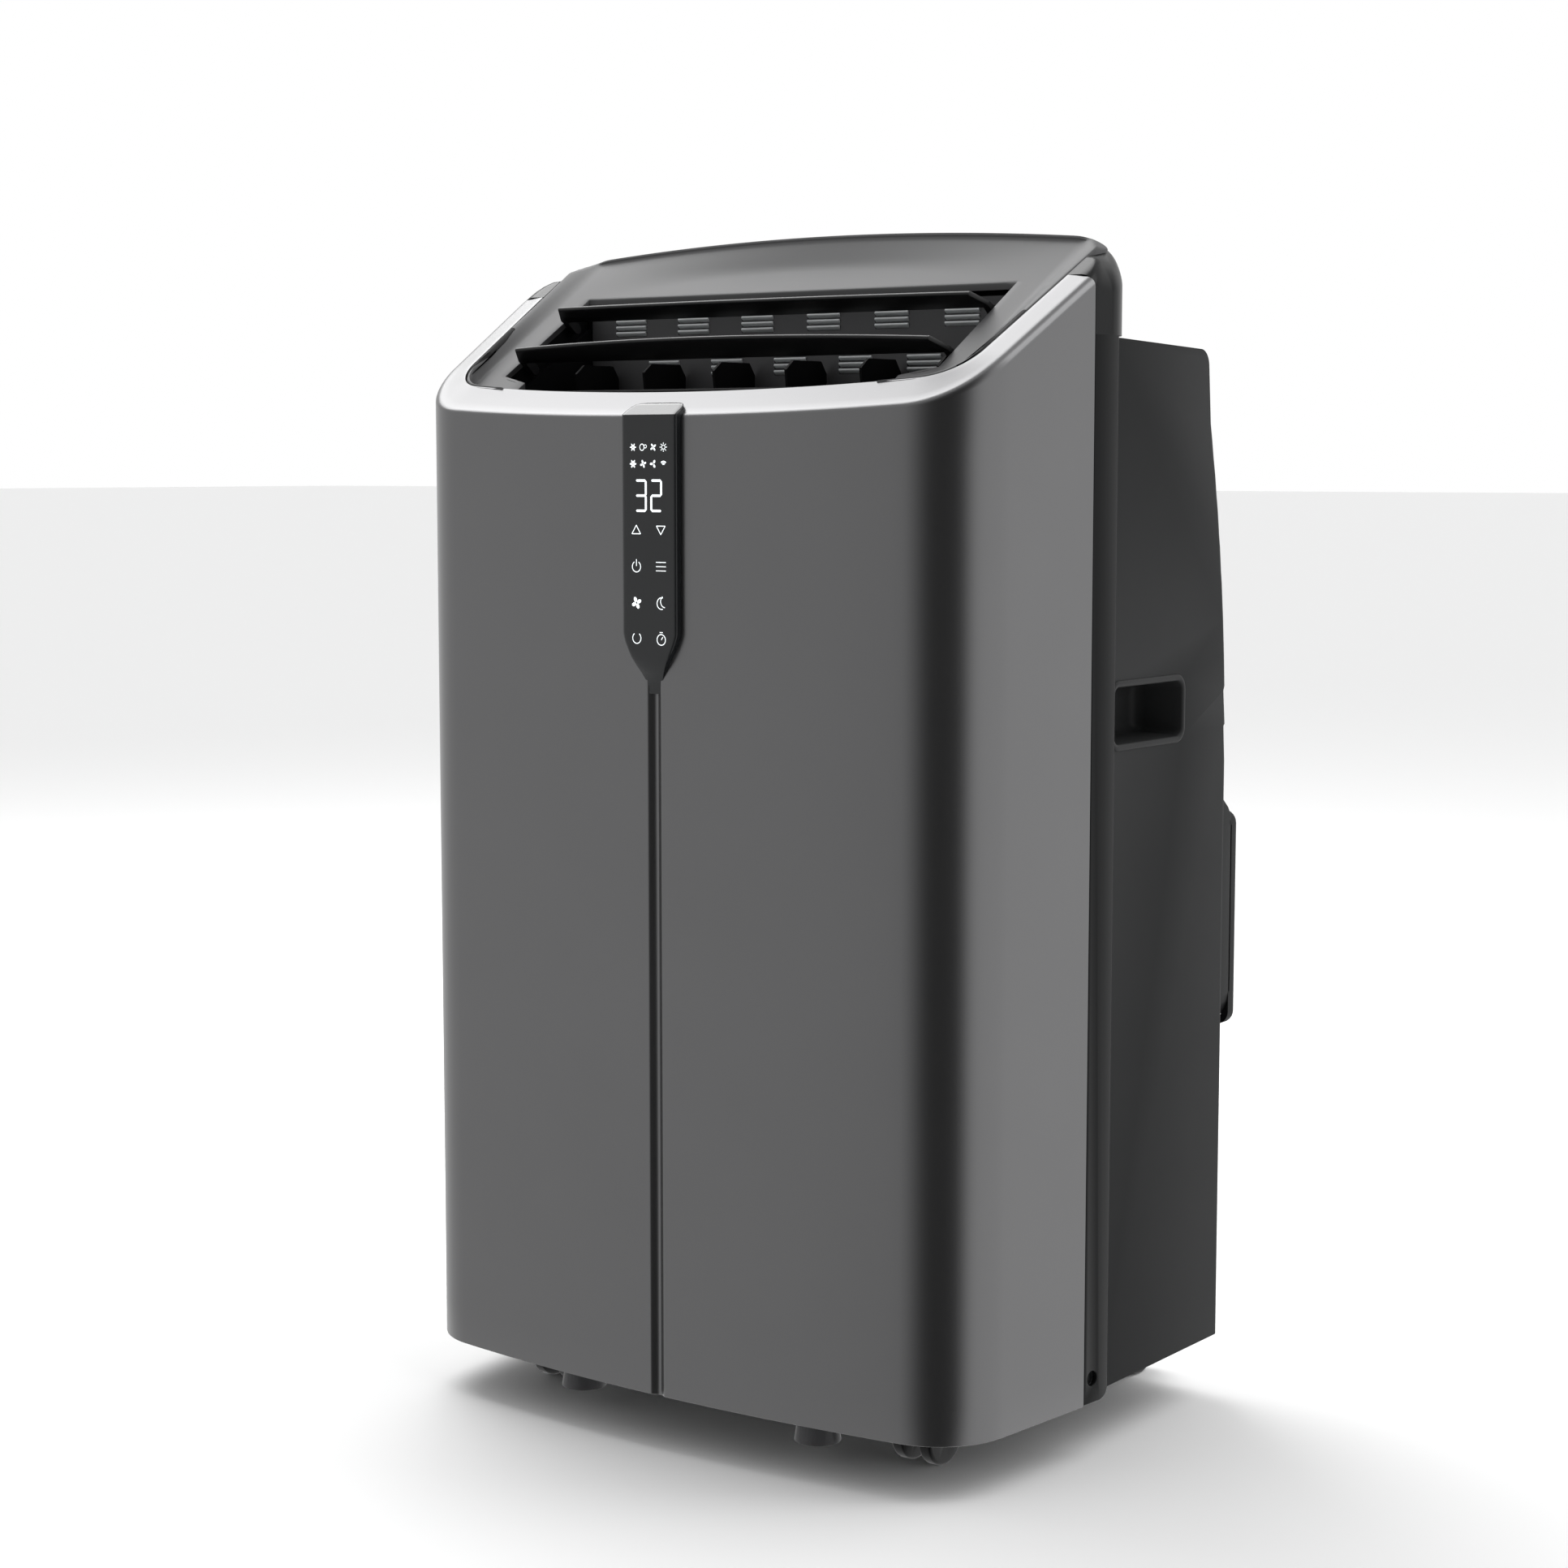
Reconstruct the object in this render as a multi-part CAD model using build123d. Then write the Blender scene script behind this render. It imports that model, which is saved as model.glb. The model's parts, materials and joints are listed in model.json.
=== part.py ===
"""Portable air conditioner on castors, in separate pieces.

Millimetres, +Z up, X to the right as seen from the front.  Shapes are drawn with Y measured
back from the middle of the front panel; write() shifts them so that the row's origin is the
middle of the footprint on the floor.
"""
import os
from math import asin, atan, atan2, cos, degrees, hypot, radians, sin, tan

from build123d import *

# ---- driving dimensions: casing ----
FRONT_Y = -5.0            # foremost face, the display strip
BACK_Y = 358.0            # rearmost face, the exhaust collar
MID_Y = (FRONT_Y + BACK_Y) / 2
FRONT_R = 1262.7          # bulge of the front panel in plan
CORNER_R = 52.7           # rounded front corners in plan
CORNER_X = 169.7
CORNER_Y = 64.7
FLARE = 6.07              # degrees that the sides open towards the back
SEAM_Y = 140.8            # joint between the front panel and the middle frame
FRAME_Y = 166.0           # joint between the middle frame and the rear housing
FRAME_BACK = 190.0        # back of the middle frame above the rear housing
PANEL_BOTTOM = 35.1
FRAME_BOTTOM = 36.0
HOUSING_BOTTOM = 40.5
WALL = 3.0
GAP = 0.4                 # seam gap between casings

# ---- driving dimensions: sloping top ----
CREST_Y = 184.0           # foot of the crest's bevel
CREST_Z = 766.4
CREST_TOP_Y = 187.5
CREST_TOP_Z = 776.5       # crest at mid width
CREST_ARCH = 2227.0       # radius of the arch along the crest
SLOPE_Y = 44.0            # where the straight slope meets the crown
SLOPE_Z = 683.8
SLOPE = (CREST_Z - SLOPE_Z) / (CREST_Y - SLOPE_Y)
LIP_Y = -8.0              # forward end of the crown
LIP_Z = 659.2
LIP_WIDTH = 20.0
LIP_DROP = 7.0
LEDGE_X = 192.0           # sunk ledge round the outlet reaches this far out
LEDGE_Y = 60.0
LEDGE_Z = 685.5           # height of the ledge at LEDGE_Y
LEDGE_SLOPE = 0.62
LEDGE_WALL = (16.0, 12.0)  # the ledge's side wall leans out this much over this height
OUTLET_X = 172.0          # side edges of the outlet
OUTLET_CORNER = (148.0, 50.0)
OUTLET_FRONT = 57.7
OUTLET_BACK = 144.5
CHEEK_DEPTH = 26.0        # upright walls under the outlet's side edges
DECK_BACK = 167.0         # crease where the deck turns up to the crest
CREST_FACE = (184.5, 771.0)

# ---- driving dimensions: rear housing ----
HOUSING_X = 229.0
HOUSING_BACK = 322.0
HOUSING_TOP = 703.8
BACK_TANGENT_Z = 430.0    # the back is upright below this and leans forward above it
BACK_R = 986.0
LEAN_TOP = 250.0          # the leaning part of the back is this tall

# ---- driving dimensions: display strip and channel ----
STRIP_X = 21.5
STRIP_TAPER_Z = 521.5
STRIP_TIP_Z = 488.5
STRIP_TOP_Z = 672.0
CHANNEL_X = 5.5

# ---- driving dimensions: outlet ----
BLADE_THICK = 3.2
BLADE_CHORD = 17.0
BLADE_TILT = -28.5        # degrees, the leading edge is up
BLADE_X = 171.4
BLADE_TIP_X = 168.2
PIVOT_BACK = 26.0         # from the leading edge to the pivot, along the blade
LOUVERS = {               # depth and height of the leading edge's ends, and its forward bow
    "louver_front": (59.1, 701.7, 8.0),
    "louver_rear": (102.7, 730.1, 1.5),
}
PIN_R = 2.0
PIN_PLAY = 0.06
PIN_END = 190.5           # louver pins reach through the cheeks to the cranks
CRANK = 18.0
CRANK_HOLE_R = 1.5
VANE_PITCH = 58.0
VANE_COUNT = 6
VANE_Y = (98.0, 142.0)
VANE_Z = (672.0, 692.0)
VANE_PIVOT_Y = 120.0
VANE_LINK_Y = 104.0
GUARD_Y = (143.2, 146.2)
GUARD_WINDOWS = {         # low edge, high edge, middles of the windows
    "upper": (712.0, 727.5, (-133.5, -80.0, -26.7, 26.7, 80.0, 133.5)),
    "lower": (684.0, 700.0, (-105.0, -52.0, 0.0, 52.0, 105.0)),
}

# ---- driving dimensions: handles, exhaust, running gear ----
HANDLE_Y = (170.0, 260.0)
HANDLE_Z = (451.0, 488.0)
HANDLE_DEPTH = 34.0
EXHAUST_X = 135.0
EXHAUST_Z = 326.0
EXHAUST_R = 75.0
BOSS_R = 81.5
BOSS_DEPTH = 24.0         # boss stands this far off the back
RAIL_Z = (258.0, 392.0)
UPPER_WINDOW = ((-172.0, 172.0), (462.0, 672.0))
LOWER_WINDOW = ((-190.0, 30.0), (96.0, 396.0))
DRAIN_X = 96.0
DRAIN_R = 8.0
DRAINS = (438.0, 74.0)
GLAND_X = -205.0
GLAND_Z = 120.0
GLAND_R = 7.0
WHEEL_R = 19.0
WHEEL_W = 9.5
WHEEL_SPACING = 20.7
CASTOR_TRAIL = 18.0
AXLE_R = 2.5
STEM_R = 4.0
CASTORS = {
    "front_left": (-149.5, 67.0),
    "front_right": (149.5, 67.0),
    "rear_left": (-153.0, 307.0),
    "rear_right": (153.0, 307.0),
}
FOOT_X = 96.0
FOOT_Y = 41.5
FOOT_Z = 14.8
PAN_Z = (42.0, 45.0)
PAN_RIM = 64.0

# ---- driving dimensions: refrigeration and air path ----
PARTITION_Z = (424.0, 430.0)
VALVE = (-128.0, 120.0, 345.0)
VALVE_PITCH = 18.0
CAN_TOP = PAN_Z[1] + 210.0
COMPRESSOR = (-128.0, 196.0, 55.0)      # X, Y, radius
COOL_FAN = (0.0, 548.0, 92.0)           # X, Z, wheel radius
COOL_FAN_Y = (122.0, 196.0)
HOT_FAN = (95.0, 190.0, 72.0)
HOT_FAN_Y = (176.0, 232.0)
SCROLL_WALL = 2.5

os.makedirs("parts", exist_ok=True)


# ---- small helpers ----
def write(name, shape):
    """Shift a finished piece into the row's frame and store it."""
    solids = shape.solids()
    piece = solids[0] if len(solids) == 1 else Compound(children=solids)
    export_step(Pos(0, -MID_Y, 0) * piece, f"parts/{name}.step")


def block(x, y, z):
    """Box between (low, high) pairs."""
    size = (x[1] - x[0], y[1] - y[0], z[1] - z[0])
    middle = Pos((x[0] + x[1]) / 2, (y[0] + y[1]) / 2, (z[0] + z[1]) / 2)
    return middle * Box(*size)


def rod_x(x, y, z, radius):
    """Round bar along X between a (low, high) pair."""
    return Pos((x[0] + x[1]) / 2, y, z) * Rot(0, 90, 0) * Cylinder(radius, x[1] - x[0])


def rod_y(x, y, z, radius):
    """Round bar along Y between a (low, high) pair."""
    return Pos(x, (y[0] + y[1]) / 2, z) * Rot(90, 0, 0) * Cylinder(radius, y[1] - y[0])


def rod_z(x, y, z, radius):
    """Round bar along Z between a (low, high) pair."""
    return Pos(x, y, (z[0] + z[1]) / 2) * Cylinder(radius, z[1] - z[0])


def side_prism(outline, half_width):
    """Extrude a closed (Y, Z) outline to both sides of the middle plane."""
    return extrude(Plane.YZ * make_face(outline), half_width, both=True)


def front_prism(outline, y):
    """Extrude a closed (X, Z) outline from y[0] back to y[1]."""
    face = Plane(origin=(0, y[0], 0), x_dir=(1, 0, 0), z_dir=(0, -1, 0)) * outline
    return extrude(face, -(y[1] - y[0]))


def polygon(points):
    """Closed outline with straight sides."""
    return Polyline(*points, close=True)


def mirror_x(shape):
    """The same shape on the other side of the middle plane."""
    return mirror(shape, Plane.YZ)


# ---- casing outline ----
def side_x(y, inset=0.0):
    """Half width of the flared side wall at depth y."""
    radius = CORNER_R - inset
    angle = radians(FLARE)
    return CORNER_X + radius * cos(angle) + (y - CORNER_Y + radius * sin(angle)) * tan(angle)


def plan_outline(inset, back, rear_radius=0.0):
    """Plan of the front casing: bulged front, rounded corners, flared sides, flat back."""
    bulge = FRONT_R - inset
    radius = CORNER_R - inset
    turn = atan2(CORNER_X, FRONT_R - CORNER_Y)

    def corner(angle):
        return CORNER_X + radius * cos(angle), CORNER_Y + radius * sin(angle)

    def other(point):
        return -point[0], point[1]

    start = (bulge * sin(turn), FRONT_R - bulge * cos(turn))
    middle = corner(radians(-44))
    end = corner(-radians(FLARE))
    rear = (side_x(back, inset), back)
    lines = ThreePointArc(other(start), (0, inset), start)
    lines += ThreePointArc(start, middle, end)
    lines += Line(end, rear)
    lines += Line(rear, other(rear))
    lines += Line(other(rear), other(end))
    lines += ThreePointArc(other(end), other(middle), other(start))
    face = make_face(lines)
    if rear_radius:
        face = fillet(face.vertices().group_by(Axis.Y)[-1], rear_radius)
    return face


def above_slope(drop=0.0):
    """Everything above the sloping top, lowered by drop."""
    foot = (CREST_Y, CREST_Z - drop)
    bend = (SLOPE_Y, SLOPE_Z - drop)
    lip = (LIP_Y, LIP_Z - drop)
    sky = 900.0
    far = 240.0
    lines = Line((far, CREST_TOP_Z + 2 - drop), (CREST_TOP_Y, CREST_TOP_Z + 2 - drop))
    lines += Line((CREST_TOP_Y, CREST_TOP_Z + 2 - drop), foot)
    lines += Line(foot, bend)
    lines += TangentArc(bend, lip, tangent=(-1, -SLOPE))
    lines += Polyline(lip, (LIP_Y, sky), (far, sky), (far, CREST_TOP_Z + 2 - drop))
    return side_prism(lines, 300)


def slope_z(y):
    """Height of the sloping top at depth y."""
    return SLOPE_Z + SLOPE * (y - SLOPE_Y)


def under_crest(drop=0.0):
    """Long cylinder whose top is the arch of the crest."""
    return rod_y(0, (0, 260), CREST_TOP_Z - drop - CREST_ARCH, CREST_ARCH)


def lip_edges(solid, y_low, y_high):
    """Outer edges of the sloping faces between two depths."""
    slopes = [f for f in solid.faces() if f.center().Z > 600 and f.normal_at().Z > 0.5]
    found = []
    for face in slopes:
        for edge in face.edges():
            middle = edge.center()
            inside = abs(middle.X) < 1 and middle.Y > 20
            if y_low < middle.Y < y_high and not inside:
                found.append(edge)
    return found


# ---- casing pieces ----
def strip_outline():
    """Front view of the display strip: straight sides, funnel to a round tip."""
    tip = CHANNEL_X + 1.5
    top_r = 6.0
    right = [
        (tip, STRIP_TIP_Z), (STRIP_X - 4, STRIP_TAPER_Z - 12),
        (STRIP_X, STRIP_TAPER_Z), (STRIP_X, STRIP_TOP_Z + 8 - top_r),
    ]
    left = [(-x, z) for x, z in reversed(right)]
    lines = Polyline(*right)
    lines += Line(right[-1], (STRIP_X, STRIP_TOP_Z + 8))
    lines += Line((STRIP_X, STRIP_TOP_Z + 8), (-STRIP_X, STRIP_TOP_Z + 8))
    lines += Line((-STRIP_X, STRIP_TOP_Z + 8), left[0])
    lines += Polyline(*left)
    lines += ThreePointArc((-tip, STRIP_TIP_Z), (0, STRIP_TIP_Z - tip), (tip, STRIP_TIP_Z))
    return make_face(lines)


def display_strip():
    """Glossy touch strip that stands proud of the panel and hooks over the lip."""
    profile = polygon([
        (4.0, STRIP_TIP_Z - 12), (FRONT_Y + 1.5, STRIP_TIP_Z - 12), (FRONT_Y, STRIP_TIP_Z + 8),
        (FRONT_Y, 649), (FRONT_Y + 1.4, 656), (7.5, STRIP_TOP_Z + 1.0), (9.5, STRIP_TOP_Z - 1.0),
        (8.5, STRIP_TOP_Z - 7.0), (4.0, 655),
    ])
    return front_prism(strip_outline(), (-12, 14)) & side_prism(profile, 60)


def front_panel():
    """Painted U-shaped shell with a bevelled lip round its sloping top."""
    shell = extrude(plan_outline(0, SEAM_Y), 800) - above_slope()
    shell = chamfer(lip_edges(shell, -1, SEAM_Y - 0.2), LIP_DROP, LIP_WIDTH)
    shell -= extrude(plan_outline(WALL, SEAM_Y + 1), 800) - above_slope(LIP_DROP + 4)
    shell -= extrude(plan_outline(LIP_WIDTH, SEAM_Y + 1), 800)
    shell -= block((-300, 300), (-20, 200), (-1, PANEL_BOTTOM))
    backing = block((-14, 14), (2.0, 7.5), (PANEL_BOTTOM, 500))
    backing += block((-30, 30), (2.0, 8.5), (480, 650))
    shell += backing
    shell -= rod_z(0, -2.2, (PANEL_BOTTOM - 1, STRIP_TIP_Z), CHANNEL_X)
    shell -= display_strip()
    for side in (-1, 1):
        for z in (120, 330, 560):
            ear = block((210, side_x(132) - WALL + 1), (128, 138), (z, z + 3))
            shell += ear if side > 0 else mirror_x(ear)
    return shell


def ledge_z(y):
    """Height of the sunk ledge at depth y."""
    return LEDGE_Z + LEDGE_SLOPE * (y - LEDGE_Y)


def outlet_region():
    """Plan of the air outlet: straight sides, cut corners at the front, open to the lip."""
    front = extrude(plan_outline(LIP_WIDTH + 0.3, OUTLET_FRONT), 800)
    front &= block((-OUTLET_CORNER[0], OUTLET_CORNER[0]), (0, OUTLET_FRONT), (0, 800))
    half = [OUTLET_CORNER, (OUTLET_X, OUTLET_FRONT), (OUTLET_X, OUTLET_BACK)]
    corners = half + [(-x, y) for x, y in reversed(half)]
    return front + extrude(make_face(polygon(corners)), 800)


def recess(deeper=0.0):
    """Space over the sunk ledge, the deck and the face that rises to the crest."""
    tilt = degrees(atan(LEDGE_SLOPE))
    flare, height = LEDGE_WALL
    low = LEDGE_X + deeper
    high = low + flare
    section = make_face(polygon([(-low, 0), (low, 0), (high, height), (-high, height)]))
    trough = extrude(Plane.XZ.offset(40) * section, 260, dir=(0, 1, 0))
    trough = Pos(0, LEDGE_Y, LEDGE_Z - deeper) * Rot(tilt, 0, 0) * trough
    foot = (DECK_BACK + deeper, ledge_z(DECK_BACK) - deeper)
    top = (CREST_FACE[0] + deeper / 2, CREST_FACE[1])
    limit = polygon([(-20, 600), (foot[0], 600), foot, top, (top[0], 800), (-20, 800)])
    return trough & side_prism(limit, 300)


def top_cover():
    """Painted hood: a sunk ledge round the outlet, the deck, and the arched crest behind."""
    inset = LIP_WIDTH + GAP
    outer = extrude(plan_outline(inset, FRAME_BACK - 2, 24), 800) - above_slope()
    outer &= under_crest()
    inner = extrude(plan_outline(inset + WALL, FRAME_BACK - 5, 21), 800)
    inner -= above_slope(4) + recess(3.0)
    inner &= under_crest(4)
    cover = outer - inner - recess() - outlet_region()
    cover -= block((-300, 300), (0, 300), (0, 655))
    cover -= block((-300, 300), (150, 300), (0, HOUSING_TOP + 4.2))
    cover -= block((-300, 300), (0, 62), (0, 668)) - extrude(plan_outline(LIP_WIDTH + 8, 300), 800)
    front, back = OUTLET_FRONT + 0.5, OUTLET_BACK - 1
    cheek = side_prism(polygon([
        (front, ledge_z(front) - 1.5), (front, slope_z(front) - CHEEK_DEPTH),
        (back, slope_z(back) - CHEEK_DEPTH), (back, ledge_z(back) - 1.5),
    ]), OUTLET_X + WALL)
    cover += cheek - block((-OUTLET_X, OUTLET_X), (0, 300), (0, 900))
    for name in LOUVERS:
        y, z = louver_pivot(name)
        cover -= rod_x((-200, 200), y, z, PIN_R + 0.6)
    return cover


def mid_frame():
    """Black band between the panel and the rear housing, closing the hood's back."""
    top = extrude(plan_outline(0, FRAME_BACK, 28), 800) - above_slope()
    top &= block((-300, 300), (SEAM_Y + GAP, 300), (HOUSING_TOP + 4, 800))
    corner = [e for e in lip_edges(top, SEAM_Y + 2, CREST_Y - 1) if abs(e.center().X) > 215]
    top = chamfer(corner, LIP_DROP)
    top -= extrude(plan_outline(LIP_WIDTH, FRAME_BACK - 1.5, 24.5), 800)
    top &= under_crest(LIP_DROP + 1)
    band = extrude(plan_outline(0, FRAME_Y), HOUSING_TOP + 4)
    band -= extrude(plan_outline(9, FRAME_Y + 1), HOUSING_TOP + 5)
    band &= block((-300, 300), (SEAM_Y + GAP, FRAME_Y - GAP), (FRAME_BOTTOM, HOUSING_TOP + 4))
    shelf = extrude(plan_outline(0.5, FRAME_BACK - 0.5, 27.5), HOUSING_TOP + 4)
    shelf &= block((-300, 300), (FRAME_Y - 4, 300), (HOUSING_TOP + 0.6, HOUSING_TOP + 4))
    shelf -= block((-190, 190), (0, 300), (0, 900))
    frame = top + band + shelf
    socket = rod_x((222, 240), 149.5, 52, 4.8)
    return frame - socket - mirror_x(socket)


def housing_profile(inset):
    """Side view of the rear housing, drawn inset and then past its open front and floor."""
    past = 1 if inset else 0
    low = HOUSING_BOTTOM - past
    back = HOUSING_BACK - inset
    radius = BACK_R - inset
    centre = back - radius
    rise = asin(LEAN_TOP / BACK_R)
    top_back = (centre + radius * cos(rise), BACK_TANGENT_Z + radius * sin(rise))
    middle = (centre + radius * cos(rise / 2), BACK_TANGENT_Z + radius * sin(rise / 2))
    front = FRAME_Y + GAP - past
    top = HOUSING_TOP - inset
    lines = Line((front, low), (back, low))
    lines += Line((back, low), (back, BACK_TANGENT_Z))
    lines += ThreePointArc((back, BACK_TANGENT_Z), middle, top_back)
    lines += Line(top_back, (top_back[0] - 1.6, HOUSING_TOP - 4.3 - inset))
    lines += Line((top_back[0] - 1.6, HOUSING_TOP - 4.3 - inset), (front, top))
    lines += Line((front, top), (front, low))
    return lines


def rear_hollow(window):
    """Opening through the back wall for a grille."""
    x, z = window
    return block(x, (HOUSING_BACK - 60, HOUSING_BACK + 5), z)


def rear_housing():
    """Matte black rear shell with handle windows, intake windows and the exhaust boss."""
    shell = side_prism(housing_profile(0), HOUSING_X)
    upright = [e for e in shell.edges().filter_by(Axis.Z) if e.center().Y > 300]
    shell = fillet(upright, 6)
    top_edge = [e for e in shell.edges().filter_by(Axis.X) if e.center().Z > 690]
    top_edge = [e for e in top_edge if 240 < e.center().Y]
    shell = fillet(top_edge[:1], 11) if top_edge else shell
    shell -= side_prism(housing_profile(WALL), HOUSING_X - WALL)
    for window in (UPPER_WINDOW, LOWER_WINDOW):
        shell -= rear_hollow(window)
    for side in (-1, 1):
        window = block((HOUSING_X - 12, HOUSING_X + 5), HANDLE_Y, HANDLE_Z)
        shell -= window if side > 0 else mirror_x(window)
    shell += rod_y(EXHAUST_X, (HOUSING_BACK - 3, HOUSING_BACK + BOSS_DEPTH), EXHAUST_Z, BOSS_R)
    shell -= rod_y(EXHAUST_X, (HOUSING_BACK - 10, BACK_Y), EXHAUST_Z, EXHAUST_R + 3)
    for z in DRAINS:
        shell -= rod_y(DRAIN_X, (HOUSING_BACK - 10, BACK_Y), z, DRAIN_R)
    shell -= rod_y(GLAND_X, (HOUSING_BACK - 10, BACK_Y), GLAND_Z, GLAND_R)
    return shell


def grille(window):
    """Slatted intake grille that fills a window and follows the leaning back."""
    gap = 0.5
    x = (window[0][0] + gap, window[0][1] - gap)
    z = (window[1][0] + gap, window[1][1] - gap)
    lean = side_prism(housing_profile(0.4), 300) - side_prism(housing_profile(4.4), 301)
    skin = lean & block(x, (HOUSING_BACK - 60, HOUSING_BACK + 1), z)
    border = 9.0
    pitch = 12.0
    opening = 6.5
    z_now = z[0] + border
    while z_now + opening < z[1] - border:
        for left, right in slot_columns(x, border):
            skin -= block((left, right), (HOUSING_BACK - 60, HOUSING_BACK + 5),
                          (z_now, z_now + opening))
        z_now += pitch
    return skin


def slot_columns(x, border):
    """Left and right ends of the slot columns across a grille."""
    columns = max(2, round((x[1] - x[0]) / 88))
    rib = 6.0
    width = (x[1] - x[0] - 2 * border - rib * (columns - 1)) / columns
    return [(x[0] + border + i * (width + rib), x[0] + border + i * (width + rib) + width)
            for i in range(columns)]


def filter_screen(window):
    """Framed mesh filter that sits behind a grille and comes out with it."""
    x = (window[0][0] + 3, window[0][1] - 3)
    z = (window[1][0] + 3, window[1][1] - 3)
    lean = side_prism(housing_profile(4.9), 300) - side_prism(housing_profile(8.4), 301)
    skin = lean & block(x, (HOUSING_BACK - 70, HOUSING_BACK + 1), z)
    mesh = side_prism(housing_profile(6.0), 300) - side_prism(housing_profile(7.2), 301)
    cells = block((x[0] + 7, x[1] - 7), (HOUSING_BACK - 70, HOUSING_BACK + 1), (z[0] + 7, z[1] - 7))
    screen = skin - cells + (mesh & cells)
    bars = 3
    for i in range(1, bars + 1):
        middle = x[0] + (x[1] - x[0]) * i / (bars + 1)
        screen += skin & block((middle - 2, middle + 2), (HOUSING_BACK - 70, HOUSING_BACK + 1), z)
    return screen


def handle_cup():
    """Moulded grip recess for the right side: five thin walls and a raised rim."""
    wall = 2.5
    y, z = HANDLE_Y, HANDLE_Z
    inner = HOUSING_X - HANDLE_DEPTH
    gap = 0.3
    cup = block((inner - wall, HOUSING_X + 1.2), (y[0] + gap, y[1] - gap), (z[0] + gap, z[1] - gap))
    cup -= block((inner, HOUSING_X + 5), (y[0] + 4, y[1] - 4), (z[0] + 4, z[1] - 4))
    step = block((inner - 0.1, HOUSING_X - 16), (y[0] + 3, y[0] + 34), (z[0] + 3, z[1] - 3))
    boss = rod_x((HOUSING_X - 17, HOUSING_X - 14), y[0] + 14, z[0] + 14, 3.2)
    screw_hole = rod_x((HOUSING_X - 18, HOUSING_X - 13), y[0] + 14, z[0] + 14, 1.2)
    return cup + step + boss - screw_hole


# ---- outlet ----
def outlet_duct():
    """Black duct under the louvers, with the vane pivots in its floor."""
    wall = 2.5
    low = VANE_Z[0] - 12
    outer = OUTLET_X - 0.4
    outline = polygon([
        (66, 664), (60, slope_z(60) - 29), (66, slope_z(66) - 24), (143, slope_z(143) - 24),
        (143, slope_z(143) - 12), (146.5, slope_z(146.5) - 12), (146.5, low), (80, low),
    ])
    hollow = polygon([
        (68.5, 667), (62, 800), (200, 800), (200, low + wall), (82, low + wall),
    ])
    duct = side_prism(outline, outer)
    duct -= side_prism(hollow, outer - wall)
    duct -= block((-150, 150), (100, 142), (low - 1, low + 10))
    for i in range(VANE_COUNT):
        bar = block((vane_x(i) - 5, vane_x(i) + 5), (99, 143), (low, low + wall))
        duct += bar - rod_z(vane_x(i), VANE_PIVOT_Y, (low - 1, low + 5), PIN_R + PIN_PLAY)
    return duct


def vane_x(index):
    """Place of a vane across the outlet."""
    return (index - (VANE_COUNT - 1) / 2) * VANE_PITCH


def guard_grille():
    """Upright guard behind the vanes: windows crossed by wide slats."""
    plate = block((-168, 168), GUARD_Y, (663, 730))
    half = 13.0
    rows = 4
    for low, high, middles in GUARD_WINDOWS.values():
        pitch = (high - low) / rows
        for middle in middles:
            for row in range(rows):
                z = low + row * pitch
                plate -= block((middle - half, middle + half), (142, 147), (z, z + pitch - 2.2))
    return plate


def louver_pivot(name):
    """Depth and height of a louver's pivot."""
    front, height, _ = LOUVERS[name]
    tilt = radians(BLADE_TILT)
    return front + PIVOT_BACK * cos(tilt), height + PIVOT_BACK * sin(tilt)


def louver(name):
    """Slim tilted blade on end arms, with pins and a crank on the left pin."""
    bow = LOUVERS[name][2]
    y, z = louver_pivot(name)
    front = -PIVOT_BACK
    back = front + BLADE_CHORD
    lines = ThreePointArc((-BLADE_TIP_X, front), (0, front - bow), (BLADE_TIP_X, front))
    lines += Polyline((BLADE_TIP_X, front), (BLADE_X, front + 13), (BLADE_X, back),
                      (-BLADE_X, back), (-BLADE_X, front + 13), (-BLADE_TIP_X, front))
    blade = extrude(Plane.XY.offset(-BLADE_THICK / 2) * make_face(lines), BLADE_THICK)
    arm = block((BLADE_X - 4, BLADE_X), (back - 1, 0), (-BLADE_THICK / 2, BLADE_THICK / 2))
    arm += rod_x((BLADE_X - 4, BLADE_X), 0, 0, 4)
    blade += arm + mirror_x(arm)
    blade += rod_x((BLADE_X - 1, PIN_END), 0, 0, PIN_R)
    blade += rod_x((-PIN_END, -BLADE_X + 1), 0, 0, PIN_R)
    crank = block((-PIN_END - 2, -PIN_END), (-3.2, 3.2), (-CRANK, 2.5))
    crank -= rod_x((-PIN_END - 3, -PIN_END + 1), 0, 4 - CRANK, CRANK_HOLE_R)
    return Pos(0, y, z) * (Rot(BLADE_TILT, 0, 0) * blade + crank)


def louver_link():
    """Push rod that ties both louver cranks together."""
    ends = []
    for name in LOUVERS:
        y, z = louver_pivot(name)
        ends.append((y, z - CRANK + 4))
    (y0, z0), (y1, z1) = ends
    length = hypot(y1 - y0, z1 - z0)
    angle = degrees(atan2(z1 - z0, y1 - y0))
    x = -PIN_END - 2 - 1.4
    rod = Pos(x, (y0 + y1) / 2, (z0 + z1) / 2) * Rot(angle, 0, 0) * Box(2, length + 6, 5)
    for index, (y, z) in enumerate(ends):
        radius = 1.44 if index == 0 else 1.1
        rod += rod_x((x, -PIN_END + 0.2), y, z, radius)
    return rod


def swing_motor():
    """Small geared stepper on the right end of the front louver's pin."""
    y, z = louver_pivot("louver_front")
    motor = block((PIN_END - 2, PIN_END + 9), (y - 5.5, y + 8), (z - 13, z + 3))
    motor += rod_x((PIN_END, PIN_END + 8), y, z - 10, 7)
    motor -= rod_x((PIN_END - 5, PIN_END + 3), y, z, PIN_R + PIN_PLAY)
    return motor


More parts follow.
